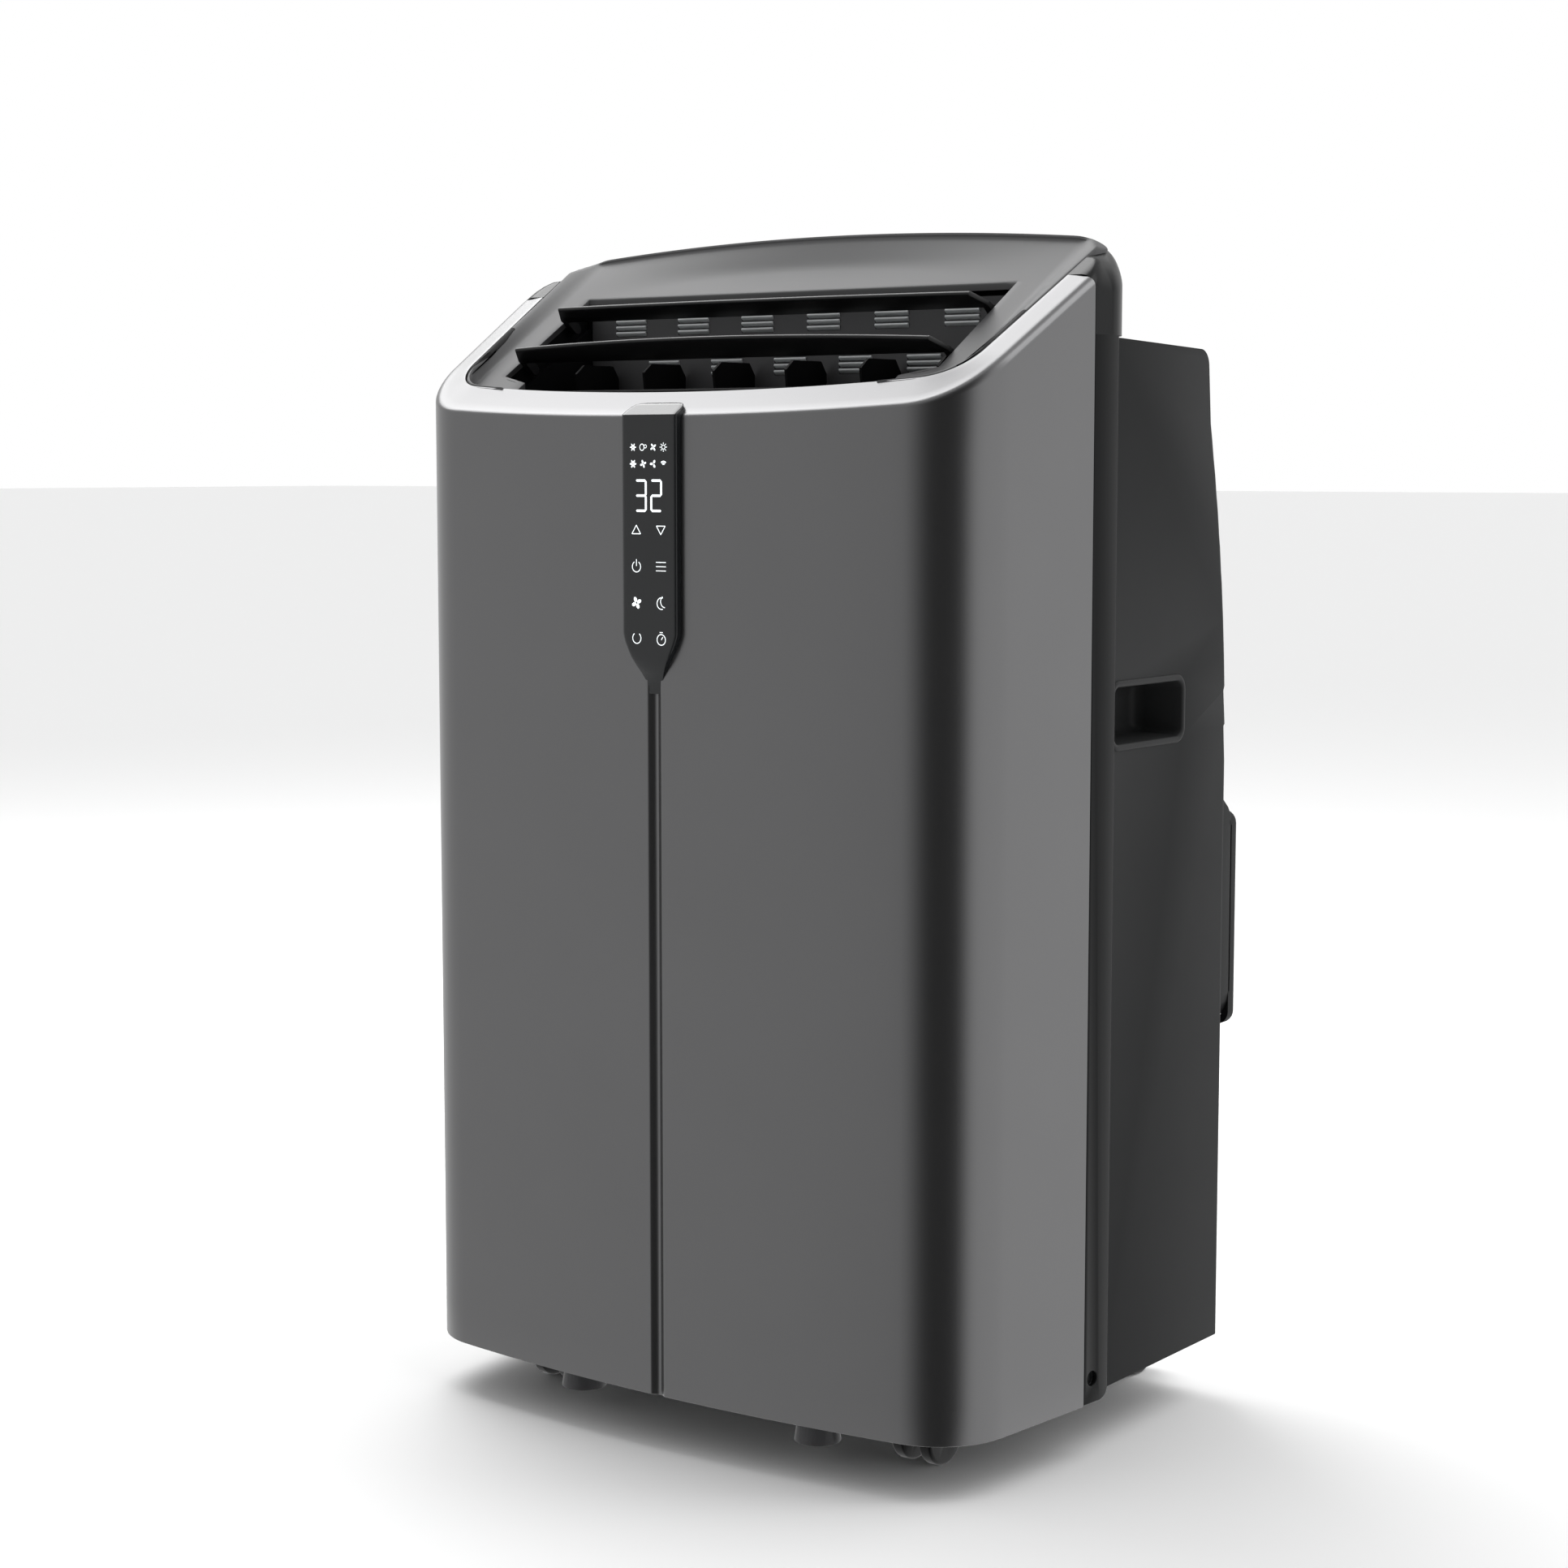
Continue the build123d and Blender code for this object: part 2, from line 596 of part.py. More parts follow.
def vane(index):
    """Upright vane with a pivot stub below and a link stub at its back."""
    x = vane_x(index)
    low, high = VANE_Z
    outline = polygon([(VANE_Y[0] + 2, low), (VANE_Y[0], high - 6), (VANE_Y[0] + 8, high),
                       (VANE_Y[1] - 6, high), (VANE_Y[1], high - 8), (VANE_Y[1], low)])
    blade = Pos(x, 0, 0) * side_prism(outline, 0.9)
    blade += rod_z(x, VANE_PIVOT_Y, (low - 12.5, low + 4), PIN_R)
    blade += rod_z(x, VANE_PIVOT_Y, (low - 8, low), 3.6)
    blade += rod_z(x, VANE_LINK_Y, (low - 6, low + 3), 1.5)
    return blade


def vane_link():
    """Bar under the vanes that swings them together."""
    low = VANE_Z[0]
    ends = vane_x(VANE_COUNT - 1) + 7
    bar = block((-ends, ends), (100.2, 107.8), (low - 5, low - 2.5))
    for i in range(VANE_COUNT):
        play = PIN_PLAY if i == 0 else 0.5
        bar -= rod_z(vane_x(i), VANE_LINK_Y, (low - 8, low), 1.5 + play)
    return bar


# ---- exhaust, drains, cord inlet ----
def exhaust_collar():
    """Round spigot for the hose inside the boss."""
    start = HOUSING_BACK + 2
    collar = rod_y(EXHAUST_X, (start, BACK_Y), EXHAUST_Z, EXHAUST_R + 2.6)
    collar -= rod_y(EXHAUST_X, (start - 1, BACK_Y + 1), EXHAUST_Z, EXHAUST_R)
    return collar


def exhaust_rail():
    """U-shaped slide rail round the boss, open at the top, for the hose adaptor."""
    depth = (HOUSING_BACK + BOSS_DEPTH + 0.2, HOUSING_BACK + BOSS_DEPTH + 6)
    upright = (EXHAUST_Z - 10, RAIL_Z[1])
    plate = rod_y(EXHAUST_X, depth, EXHAUST_Z, BOSS_R)
    plate &= block((0, 300), (300, 400), RAIL_Z)
    plate += block((EXHAUST_X - BOSS_R, EXHAUST_X + BOSS_R), depth, upright)
    plate -= rod_y(EXHAUST_X, (300, 400), EXHAUST_Z, EXHAUST_R + 2.9)
    lips = block((EXHAUST_X - BOSS_R, EXHAUST_X - BOSS_R + 2.5), (depth[1], BACK_Y - 0.5), upright)
    lips += mirror(lips, Plane.YZ.offset(EXHAUST_X))
    return plate + lips


def drain_plug(z):
    """Rubber plug with a flanged head and a finger tab."""
    plug = rod_y(DRAIN_X, (HOUSING_BACK - 12, HOUSING_BACK + 0.3), z, DRAIN_R - 0.15)
    plug += rod_y(DRAIN_X, (HOUSING_BACK + 0.3, HOUSING_BACK + 3.5), z, DRAIN_R + 2.5)
    plug += block((DRAIN_X - 2, DRAIN_X + 2), (HOUSING_BACK + 3, HOUSING_BACK + 10),
                  (z - 7, z + 7))
    return plug


def cord_gland():
    """Bush for the mains lead, which is not fitted."""
    gland = rod_y(GLAND_X, (HOUSING_BACK - 6, HOUSING_BACK + 0.2), GLAND_Z, GLAND_R - 0.2)
    gland += rod_y(GLAND_X, (HOUSING_BACK + 0.2, HOUSING_BACK + 5), GLAND_Z, GLAND_R + 2)
    gland -= rod_y(GLAND_X, (HOUSING_BACK - 10, HOUSING_BACK + 8), GLAND_Z, 4)
    return gland


def cord_hooks():
    """Two hooks on the back for winding the lead."""
    hooks = []
    for z, way in ((180, -1), (300, 1)):
        stem = block((-216, -200), (HOUSING_BACK, HOUSING_BACK + 16), (z - 3, z + 3))
        tongue = block((-216, -200), (HOUSING_BACK + 12, HOUSING_BACK + 16),
                       (z, z + 16) if way > 0 else (z - 16, z))
        hooks.append(stem + tongue)
    return Compound(children=[h.solids()[0] for h in hooks])


# ---- base and running gear ----
def base_pan():
    """Pressed tray that carries the compressor and the castors."""
    outline = plan_outline(WALL + 1.0, HOUSING_BACK - 5)
    limit = block((-220, 220), (0, 400), (0, 100))
    pan = (extrude(outline, PAN_RIM) & limit) - block((-300, 300), (-10, 400), (-1, PAN_Z[0]))
    inner = plan_outline(WALL + 3.0, HOUSING_BACK - 7)
    pan -= extrude(inner, 100) & block((-218, 218), (0, 400), (PAN_Z[1], 100))
    for x, y in CASTORS.values():
        pan += rod_z(x, y, (PAN_Z[0] - 3, PAN_Z[0]), 11)
        pan += rod_z(x, y, (PAN_Z[1], PAN_Z[1] + 12), 9)
        pan -= rod_z(x, y, (PAN_Z[0] - 4, PAN_Z[1] + 9), STEM_R + PIN_PLAY)
    pan -= block((-15, 15), (0, 9.5), (0, 100))
    for side in (-1, 1):
        pan -= rod_z(side * FOOT_X, FOOT_Y, (PAN_Z[0] - 1, PAN_Z[1] + 1), 3.0)
    return pan


def skid_foot(x):
    """Cup-shaped anti-tip foot that hangs clear of the floor."""
    height = PAN_Z[0] - FOOT_Z
    foot = Pos(x, FOOT_Y, FOOT_Z + height / 2) * Cone(15, 10.5, height)
    foot -= Pos(x, FOOT_Y, FOOT_Z) * Sphere(11.5)
    return foot + rod_z(x, FOOT_Y, (PAN_Z[0], PAN_Z[1] + 2), 2.8)


def castor_fork(x, y):
    """Swivelling castor body: stem, cap and axle between the twin wheels."""
    axle_y = y + CASTOR_TRAIL
    body = rod_z(x, y, (PAN_Z[0] - 5.8, PAN_Z[0] - 3.3), 9)
    body += rod_z(x, y, (PAN_Z[0] - 5, PAN_Z[1] + 8), STEM_R)
    cheek = polygon([(y - 9, PAN_Z[0] - 3.6), (y - 9, PAN_Z[0] - 14), (axle_y - 6, WHEEL_R - 6),
                     (axle_y + 6, WHEEL_R - 6), (axle_y + 6, WHEEL_R + 8), (y + 10, PAN_Z[0] - 3.6)])
    body += Pos(x, 0, 0) * side_prism(cheek, 4.2)
    half = WHEEL_SPACING / 2 + WHEEL_W / 2 + 1.5
    return body + rod_x((x - half, x + half), axle_y, WHEEL_R, AXLE_R)


def castor_wheels(x, y):
    """Twin wheels that roll together on the axle."""
    axle_y = y + CASTOR_TRAIL
    wheels = []
    for side in (-1, 1):
        middle = x + side * WHEEL_SPACING / 2
        disc = rod_x((middle - WHEEL_W / 2, middle + WHEEL_W / 2), axle_y, WHEEL_R, WHEEL_R)
        disc = fillet(disc.edges(), 2.2)
        disc -= rod_x((middle - 20, middle + 20), axle_y, WHEEL_R, AXLE_R + PIN_PLAY)
        wheels.append(disc.solids()[0])
    return Compound(children=wheels)


# ---- refrigeration ----
def compressor():
    """Welded hermetic can with domed ends, terminal boss and a three-sided foot plate."""
    x, y, radius = COMPRESSOR
    low = PAN_Z[1] + 10
    can = rod_z(x, y, (low, low + 190), radius)
    can = fillet(can.edges(), 16)
    can -= fillet(rod_z(x, y, (low + 4, low + 186), radius - 4).edges(), 12)
    can += rod_z(x, y, (low + 188, low + 200), 12)
    plate = Pos(x, y, low + 1.5) * extrude(RegularPolygon(68, 3), 3)
    return can + plate


def compressor_mounts():
    """Three rubber bushes under the foot plate."""
    x, y, _ = COMPRESSOR
    mounts = []
    for i in range(3):
        angle = radians(120 * i)
        centre = (x + 52 * cos(angle), y + 52 * sin(angle))
        mounts.append(rod_z(*centre, (PAN_Z[1], PAN_Z[1] + 9.9), 8).solids()[0])
    return Compound(children=mounts)


def accumulator():
    """Suction accumulator beside the compressor."""
    can = rod_z(-46, 214, (80, 214), 20)
    can = fillet(can.edges(), 9)
    return can + rod_z(-46, 214, (212, 228), 5)


def reversing_valve():
    """Four-way valve with three ports below, one above, and its coil in front."""
    x, y, z = VALVE
    valve = rod_x((x - 35, x + 35), y, z, 11)
    valve = fillet(valve.edges(), 4)
    for offset in (-VALVE_PITCH, 0, VALVE_PITCH):
        valve += rod_z(x + offset, y, (z - 15, z), 4)
    return valve + rod_z(x, y, (z, z + 17), 4) + rod_y(x, (y - 36, y - 8), z, 9)


def pipe(points, radius, bend):
    """Bent copper pipe through the given corners."""
    path = FilletPolyline(*points, radius=bend)
    start = points[0]
    direction = Vector(*points[1]) - Vector(*start)
    section = Plane(origin=start, z_dir=direction) * Circle(radius)
    return sweep(section, path=path)


def refrigerant_pipes():
    """Discharge, suction, hot and cold lines between the compressor, valve and coils."""
    gap = 0.1
    can_x, can_y, _ = COMPRESSOR
    x, y, z = VALVE
    under = z - 15 - gap
    left = x - VALVE_PITCH
    right = x + VALVE_PITCH
    runs = [
        [(can_x, can_y, CAN_TOP + gap), (can_x, can_y, 300), (x, y, 300), (x, y, under)],
        [(-46, 214, 228 + gap), (-46, 214, 270), (-46, y, 270), (right, y, 270), (right, y, under)],
        [(x, y, z + 17 + gap), (x, y, 400), (-30, y, 400), (-30, y, 286), (-19, y, 286)],
        [(left, y, under), (left, y, 312), (-192, y, 312), (-192, y, 400), (-192, 160, 400)],
    ]
    bends = (9, 9, 5, 6)
    pipes = [pipe(points, 3.5, bend).solids()[0] for points, bend in zip(runs, bends)]
    return Compound(children=pipes)


def coil(x, y, z, rows, pitch=25.0):
    """Finned heat exchanger: fin pack, end plates and hairpin tubes."""
    pack = block(x, y, z)
    groove = 3.0
    position = z[0] + 12
    while position < z[1] - 12:
        pack -= block((x[0] + 8, x[1] - 8), (y[0] - 1, y[0] + 1.5), (position, position + groove))
        pack -= block((x[0] + 8, x[1] - 8), (y[1] - 1.5, y[1] + 1), (position, position + groove))
        position += 12
    for row in range(rows):
        centre = z[0] + 14 + row * pitch
        for side in (x[0], x[1]):
            bend = Pos(side, (y[0] + y[1]) / 2, centre) * Rot(0, 90, 90) * Torus(7, 3)
            pack += bend
    return pack


def evaporator_coil():
    """Cold coil behind the upper grille."""
    return coil((-180, 180), (236, 258), (442, 668), 9)


def condenser_coil():
    """Warm coil in the lower half."""
    return coil((-12, 205), (120, 148), (76, 318), 9)


def volute(centre, radius, outlet_x, outlet_z, y):
    """Fan scroll: round chamber running into an upright duct."""
    x, z = centre
    face = Pos(x, z) * Circle(radius)
    face += Pos((outlet_x[0] + outlet_x[1]) / 2, (z + outlet_z) / 2) * Rectangle(
        outlet_x[1] - outlet_x[0], outlet_z - z)
    return front_prism(face, y)


def evaporator_scroll():
    """Housing of the room-air fan, open at the back for the wheel and at the top."""
    x, z, radius = COOL_FAN
    y = (COOL_FAN_Y[0] - 10, COOL_FAN_Y[1] + 10)
    outer = volute((x, z), radius + 14, (-120, 60), 652, y)
    inner = volute((x, z), radius + 14 - SCROLL_WALL, (-120 + SCROLL_WALL, 60 - SCROLL_WALL), 660,
                   (y[0] + SCROLL_WALL, y[1] - SCROLL_WALL))
    scroll = outer - inner
    scroll -= rod_y(x, (y[1] - 5, y[1] + 5), z, 66)
    return scroll - rod_y(x, (y[0] - 5, y[0] + 5), z, 8)


def condenser_scroll():
    """Housing of the hot-air fan, turning back into the exhaust collar."""
    x, z, radius = HOT_FAN
    y = (HOT_FAN_Y[0] - 8, HOT_FAN_Y[1] + 8)
    outer = volute((x, z), radius + 13, (EXHAUST_X - 80, EXHAUST_X + 80), 408, y)
    outer += rod_y(EXHAUST_X, (y[1] - 1, HOUSING_BACK - 3.2), EXHAUST_Z, EXHAUST_R + 2)
    wall = SCROLL_WALL
    inner = volute((x, z), radius + 13 - wall, (EXHAUST_X - 80 + wall, EXHAUST_X + 80 - wall),
                   408 - wall, (y[0] + wall, y[1] - wall))
    inner += rod_y(EXHAUST_X, (y[1] - 8, HOUSING_BACK), EXHAUST_Z, EXHAUST_R + 2 - wall)
    scroll = outer - inner
    scroll -= rod_y(x, (y[0] - 5, y[0] + 5), z, 52)
    return scroll - rod_y(x, (y[1] - 5, y[1] + 5), z, 8)


def blower_wheel(centre, y, shaft_front):
    """Squirrel-cage wheel: back plate, hub, blades and a rim."""
    x, z, radius = centre
    plate_y = (y[0], y[0] + 2.5) if shaft_front else (y[1] - 2.5, y[1])
    rim_y = (y[1] - 4, y[1]) if shaft_front else (y[0], y[0] + 4)
    wheel = rod_y(x, plate_y, z, radius)
    wheel += rod_y(x, rim_y, z, radius) - rod_y(x, (y[0] - 1, y[1] + 1), z, radius - 9)
    blades = 28
    for i in range(blades):
        angle = 360 * i / blades
        blade = Pos(radius - 5, 0, 0) * Rot(0, 0, 24) * Box(9, 1.6, y[1] - y[0] - 1)
        place = Pos(x, (y[0] + y[1]) / 2, z) * Rot(90, 0, 0) * Rot(0, 0, angle)
        wheel += place * blade
    hub_y = (y[0], y[0] + 26) if shaft_front else (y[1] - 26, y[1])
    wheel += rod_y(x, hub_y, z, 11)
    shaft_y = (y[0] - 22, y[0] + 1) if shaft_front else (y[1] - 1, y[1] + 22)
    return wheel + rod_y(x, shaft_y, z, 4)


def fan_motor(centre, y, shaft_back):
    """Fan motor with a bored nose that the wheel's shaft runs in."""
    x, z, _ = centre
    motor = rod_y(x, y, z, 42)
    motor = fillet(motor.edges(), 8)
    nose = (y[1] - 1, y[1] + 4) if shaft_back else (y[0] - 4, y[0] + 1)
    motor += rod_y(x, nose, z, 12)
    bore = (y[1] - 16, y[1] + 5) if shaft_back else (y[0] - 5, y[0] + 16)
    return motor - rod_y(x, bore, z, 4 + PIN_PLAY)


def drip_tray():
    """Partition between the cold upper half and the warm lower half."""
    tray = block((-218, 218), (12, 306), PARTITION_Z)
    tray += block((-196, 196), (222, 272), (PARTITION_Z[1] - 1, PARTITION_Z[1] + 10))
    tray -= block((-192, 192), (226, 268), (PARTITION_Z[1], PARTITION_Z[1] + 12))
    limit = extrude(plan_outline(WALL + 1.5, 340), 800)
    return tray & limit


def electrical_box():
    """Tray for the electronics, open at its front."""
    box = block((-205, -45), (30, 74), (180, 300))
    return box - block((-202, -48), (28, 71), (183, 297))


def main_board():
    """Power board with its larger components."""
    board = block((-198, -52), (60, 62), (187, 293))
    for x, z, size in ((-180, 270, 16), (-150, 240, 22), (-110, 265, 14), (-80, 225, 20),
                       (-165, 205, 12), (-120, 205, 18)):
        board += block((x, x + size), (46, 60.5), (z - size / 2, z + size / 2))
    return board


def control_board():
    """Display board behind the strip."""
    return block((-18, 18), (9.5, 11.1), (500, 646))


def run_capacitor():
    """Compressor run capacitor with its terminals."""
    can = rod_z(-20, 52, (190, 260), 18)
    return fillet(can.edges(), 3) + block((-24, -16), (49, 55), (258, 270))


def housing_screws():
    """Self-tapping screws that hold the rear housing to its frame."""
    places = [(-212, 250), (-212, 445), (212, 250), (212, 445), (-60, 446), (60, 446)]
    seat = (HOUSING_BACK, HOUSING_BACK + 2.6)
    return Compound(children=[rod_y(x, seat, z, 4).solids()[0] for x, z in places])


def main():
    write("front_panel", front_panel())
    write("display_strip", display_strip())
    write("control_board", control_board())
    write("top_cover", top_cover())
    write("mid_frame", mid_frame())
    write("rear_housing", rear_housing())
    write("upper_grille", grille(UPPER_WINDOW))
    write("upper_filter", filter_screen(UPPER_WINDOW))
    write("lower_grille", grille(LOWER_WINDOW))
    write("lower_filter", filter_screen(LOWER_WINDOW))
    write("handle_right", handle_cup())
    write("handle_left", mirror_x(handle_cup()))
    write("outlet_duct", outlet_duct())
    write("guard_grille", guard_grille())
    for name in LOUVERS:
        write(name, louver(name))
    write("louver_link", louver_link())
    write("swing_motor", swing_motor())
    for i in range(VANE_COUNT):
        write(f"vane_{i + 1}", vane(i))
    write("vane_link", vane_link())
    write("exhaust_collar", exhaust_collar())
    write("exhaust_rail", exhaust_rail())
    write("upper_drain_plug", drain_plug(DRAINS[0]))
    write("lower_drain_plug", drain_plug(DRAINS[1]))
    write("cord_gland", cord_gland())
    write("cord_hooks", cord_hooks())
    write("base_pan", base_pan())
    write("foot_left", skid_foot(-FOOT_X))
    write("foot_right", skid_foot(FOOT_X))
    for place, (x, y) in CASTORS.items():
        write(f"castor_fork_{place}", castor_fork(x, y))
        write(f"castor_wheels_{place}", castor_wheels(x, y))
    write("compressor", compressor())
    write("compressor_mounts", compressor_mounts())
    write("accumulator", accumulator())
    write("reversing_valve", reversing_valve())
    write("refrigerant_pipes", refrigerant_pipes())
    write("evaporator_coil", evaporator_coil())
    write("condenser_coil", condenser_coil())
    write("evaporator_scroll", evaporator_scroll())
    write("condenser_scroll", condenser_scroll())
    write("evaporator_blower", blower_wheel(COOL_FAN, COOL_FAN_Y, True))
    write("condenser_blower", blower_wheel(HOT_FAN, HOT_FAN_Y, False))
    write("evaporator_motor", fan_motor(COOL_FAN, (60, 106), True))
    write("condenser_motor", fan_motor(HOT_FAN, (246, 300), False))
    write("drip_tray", drip_tray())
    write("electrical_box", electrical_box())
    write("main_board", main_board())
    write("run_capacitor", run_capacitor())
    write("housing_screws", housing_screws())


main()
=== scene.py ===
"""Portable air conditioner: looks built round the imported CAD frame."""

import json
import math

import bmesh
import bpy
from mathutils import Matrix, Vector


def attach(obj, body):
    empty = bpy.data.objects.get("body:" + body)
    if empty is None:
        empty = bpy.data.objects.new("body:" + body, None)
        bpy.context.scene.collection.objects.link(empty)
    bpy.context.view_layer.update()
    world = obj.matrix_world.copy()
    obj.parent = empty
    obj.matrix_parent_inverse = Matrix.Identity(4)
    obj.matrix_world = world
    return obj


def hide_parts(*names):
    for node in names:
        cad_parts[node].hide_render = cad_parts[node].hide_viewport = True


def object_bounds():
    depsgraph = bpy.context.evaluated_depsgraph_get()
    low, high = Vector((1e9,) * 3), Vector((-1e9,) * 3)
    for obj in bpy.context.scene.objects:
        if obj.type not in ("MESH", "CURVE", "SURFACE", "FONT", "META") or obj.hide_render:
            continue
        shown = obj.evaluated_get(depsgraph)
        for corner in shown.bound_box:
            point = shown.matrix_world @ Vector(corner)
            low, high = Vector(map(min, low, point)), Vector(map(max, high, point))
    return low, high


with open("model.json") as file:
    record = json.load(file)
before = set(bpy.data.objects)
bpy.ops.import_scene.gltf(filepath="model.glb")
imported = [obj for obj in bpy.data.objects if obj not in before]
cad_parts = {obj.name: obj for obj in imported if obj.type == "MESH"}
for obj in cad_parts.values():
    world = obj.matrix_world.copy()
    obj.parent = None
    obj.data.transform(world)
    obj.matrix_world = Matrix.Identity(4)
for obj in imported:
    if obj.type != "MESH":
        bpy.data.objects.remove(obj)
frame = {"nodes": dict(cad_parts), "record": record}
cad_low, cad_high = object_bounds()
scene = bpy.context.scene
scene.view_settings.view_transform = "Standard"

# ---- sizes in millimetres, depth measured back from the middle of the front panel ----
MM = 0.001
FRONT_Y = -5.0
MID_Y = FRONT_Y - cad_low.y / MM
FRONT_R = 1262.7
CORNER_R = 52.7
CORNER_X = 169.7
CORNER_Y = 64.7
FLARE = math.radians(6.07)
TURN = math.atan2(CORNER_X, FRONT_R - CORNER_Y)
SEAM_Y = 140.8
FRAME_BACK = 190.0
PANEL_BOTTOM = 35.1
FRAME_BOTTOM = 36.0
HOUSING_TOP = 703.8
SLOPE_Y = 44.0
SLOPE_Z = 683.8
SLOPE = 0.59
CROWN = 0.00225           # the slope flattens by this much forward of SLOPE_Y
LIP = 20.0
LEDGE_Y = 60.0
LEDGE_Z = 685.5
LEDGE_SLOPE = 0.62
LEDGE_X = 192.0
OUTLET_X = 172.0
OUTLET_BACK = 144.5
CREST_Z = cad_high.z / MM
CREST_ARCH = 2227.0
CREST_Y = 185.0
CREST_END_X = 188.0       # the crest starts to round down here
CREASE_Y = 171.0          # deck turns up to the crest, further forward at the sides
CREASE_BOW = 0.00045
SHOULDER = 4.6            # drop from the crest to the top of its front face
HOOD_BACK = 188.0
HOOD_CORNER = 8.0
HOOD_INSET = 20.5
SURROUND_Z = (246.0, 408.0)
RAIL_Z = (247.0, 393.5)
STRIP_X = 21.5
STRIP_TAPER_Z = 521.5
STRIP_TIP_Z = 488.5
STRIP_CREASE_Z = 656.5
HOOK_Y = 8.6              # rear end of the strip's hook over the lip
HOOK_R = 11.0
CHANNEL_X = 5.7           # half width of the channel below the strip
CHANNEL_DEPTH = 3.1
CHANNEL_TOP_Z = 655.0
RIM_X = 2.4               # width of the hood's raised rim
RIM_REACH = 8.0           # least width of the slope inside the rim
SKIRT = 9.0               # hidden edge of the hood and the frame, below their tops
OUTLET_LIP = 3.4          # height of the outlet's edge
GRIP_WALL = 229.0         # outer face of the rear housing at the grips
SURROUND_X = (51.0, 219.0)

# ---- view and light, in metres and degrees ----
CAMERA_AT = (1.1711, -1.6302, 0.6265)
CAMERA_WAY = (-0.5898, 0.8006, -0.1060)
CAMERA_LENS = 69.02
DARK_BEARINGS = ((-25.0, 22.0), (58.0, 84.0))    # where the surround dims, and lights again


def at(x, y, z):
    """Point in the row frame, in metres."""
    return Vector((x * MM, (y - MID_Y) * MM, z * MM))


SIDES = ((1, "right"), (-1, "left"))


def placed(name, data):
    """New object linked into the scene."""
    obj = bpy.data.objects.new(name, data)
    scene.collection.objects.link(obj)
    return obj


# ---- camera ----
def make_camera():
    """Camera at the right of the front, slightly above the middle of the object."""
    data = bpy.data.cameras.new("camera")
    data.lens = CAMERA_LENS
    data.sensor_width = 36.0
    data.clip_end = 100.0
    camera = placed("camera", data)
    camera.location = CAMERA_AT
    camera.rotation_mode = "QUATERNION"
    camera.rotation_quaternion = Vector(CAMERA_WAY).to_track_quat("-Z", "Y")
    scene.camera = camera


make_camera()


# ---- shader maths ----
class Socket:
    """An output socket that builds Math nodes when it is used in an expression."""

    def __init__(self, build, output):
        self.build = build
        self.output = output

    def maths(self, operation, *values):
        node = self.build.tree.nodes.new("ShaderNodeMath")
        node.operation = operation
        for slot, value in zip(node.inputs, values):
            self.build.feed(slot, value)
        return Socket(self.build, node.outputs[0])

    def __add__(self, other):
        return self.maths("ADD", self, other)

    def __sub__(self, other):
        return self.maths("SUBTRACT", self, other)

    def __mul__(self, other):
        return self.maths("MULTIPLY", self, other)

    def __radd__(self, other):
        return self.maths("ADD", other, self)

    def __rsub__(self, other):
        return self.maths("SUBTRACT", other, self)

    def __rmul__(self, other):
        return self.maths("MULTIPLY", other, self)


class Build:
    """Small helper that adds nodes to one tree."""

    def __init__(self, tree):
        self.tree = tree

    def feed(self, slot, value):
        if isinstance(value, Socket):
            self.tree.links.new(value.output, slot)
        else:
            slot.default_value = value

    def add(self, kind, settings=None, out=0, **values):
        node = self.tree.nodes.new(kind)
        for name, value in (settings or {}).items():
            setattr(node, name, value)
        for name, value in values.items():
            self.feed(node.inputs[name.replace("_", " ")], value)
        return Socket(self, node.outputs[out])

    def noise(self, scale, detail=3.0):
        return self.add("ShaderNodeTexNoise", Vector=self.place, Scale=scale, Detail=detail)

    def blend(self, factor, first, second):
        node = self.tree.nodes.new("ShaderNodeMix")
        node.data_type = "RGBA"
        self.feed(node.inputs[0], factor)
        self.feed(node.inputs[6], first)
        self.feed(node.inputs[7], second)
        return Socket(self, node.outputs[2])


def shade(name, base, rough, metal=0.0, grain=900.0, grain_depth=0.02, tone=0.12,
          specular=0.5, coat=0.0, rough_swing=0.08, mottle=14.0, brush=None, glow=None):
    """A finish with fine grain, broad mottling and uneven gloss."""
    material = bpy.data.materials.new(name)
    material.use_nodes = True
    tree = material.node_tree
    tree.nodes.clear()
    build = Build(tree)
    build.place = build.add("ShaderNodeTexCoord", out="Object")
    if brush:
        build.place = build.add("ShaderNodeMapping", Vector=build.place, Scale=brush)
    fine = build.noise(grain, 2.0)
    broad = build.noise(mottle, 4.0)
    dark = tuple(channel * (1 - tone) for channel in base) + (1.0,)
    light = tuple(min(1.0, channel * (1 + tone)) for channel in base) + (1.0,)
    shift = fine * 0.65 + broad * 0.35
    colour = build.blend(shift, dark, light)
    shader = tree.nodes.new("ShaderNodeBsdfPrincipled")
    build.feed(shader.inputs["Base Color"], colour)
    gloss = rough + (broad - 0.5) * rough_swing + (fine - 0.5) * 0.05
    build.feed(shader.inputs["Roughness"], gloss)
    shader.inputs["Metallic"].default_value = metal
    shader.inputs["Specular IOR Level"].default_value = specular
    shader.inputs["Coat Weight"].default_value = coat
    shader.inputs["Coat Roughness"].default_value = 0.06
    if glow:
        shader.inputs["Emission Color"].default_value = (*glow, 1.0)
        shader.inputs["Emission Strength"].default_value = 0.9
    bump = build.add("ShaderNodeBump", Strength=0.35, Distance=grain_depth * MM, Height=fine)
    build.feed(shader.inputs["Normal"], bump)
    output = tree.nodes.new("ShaderNodeOutputMaterial")
    tree.links.new(shader.outputs[0], output.inputs[0])
    return material


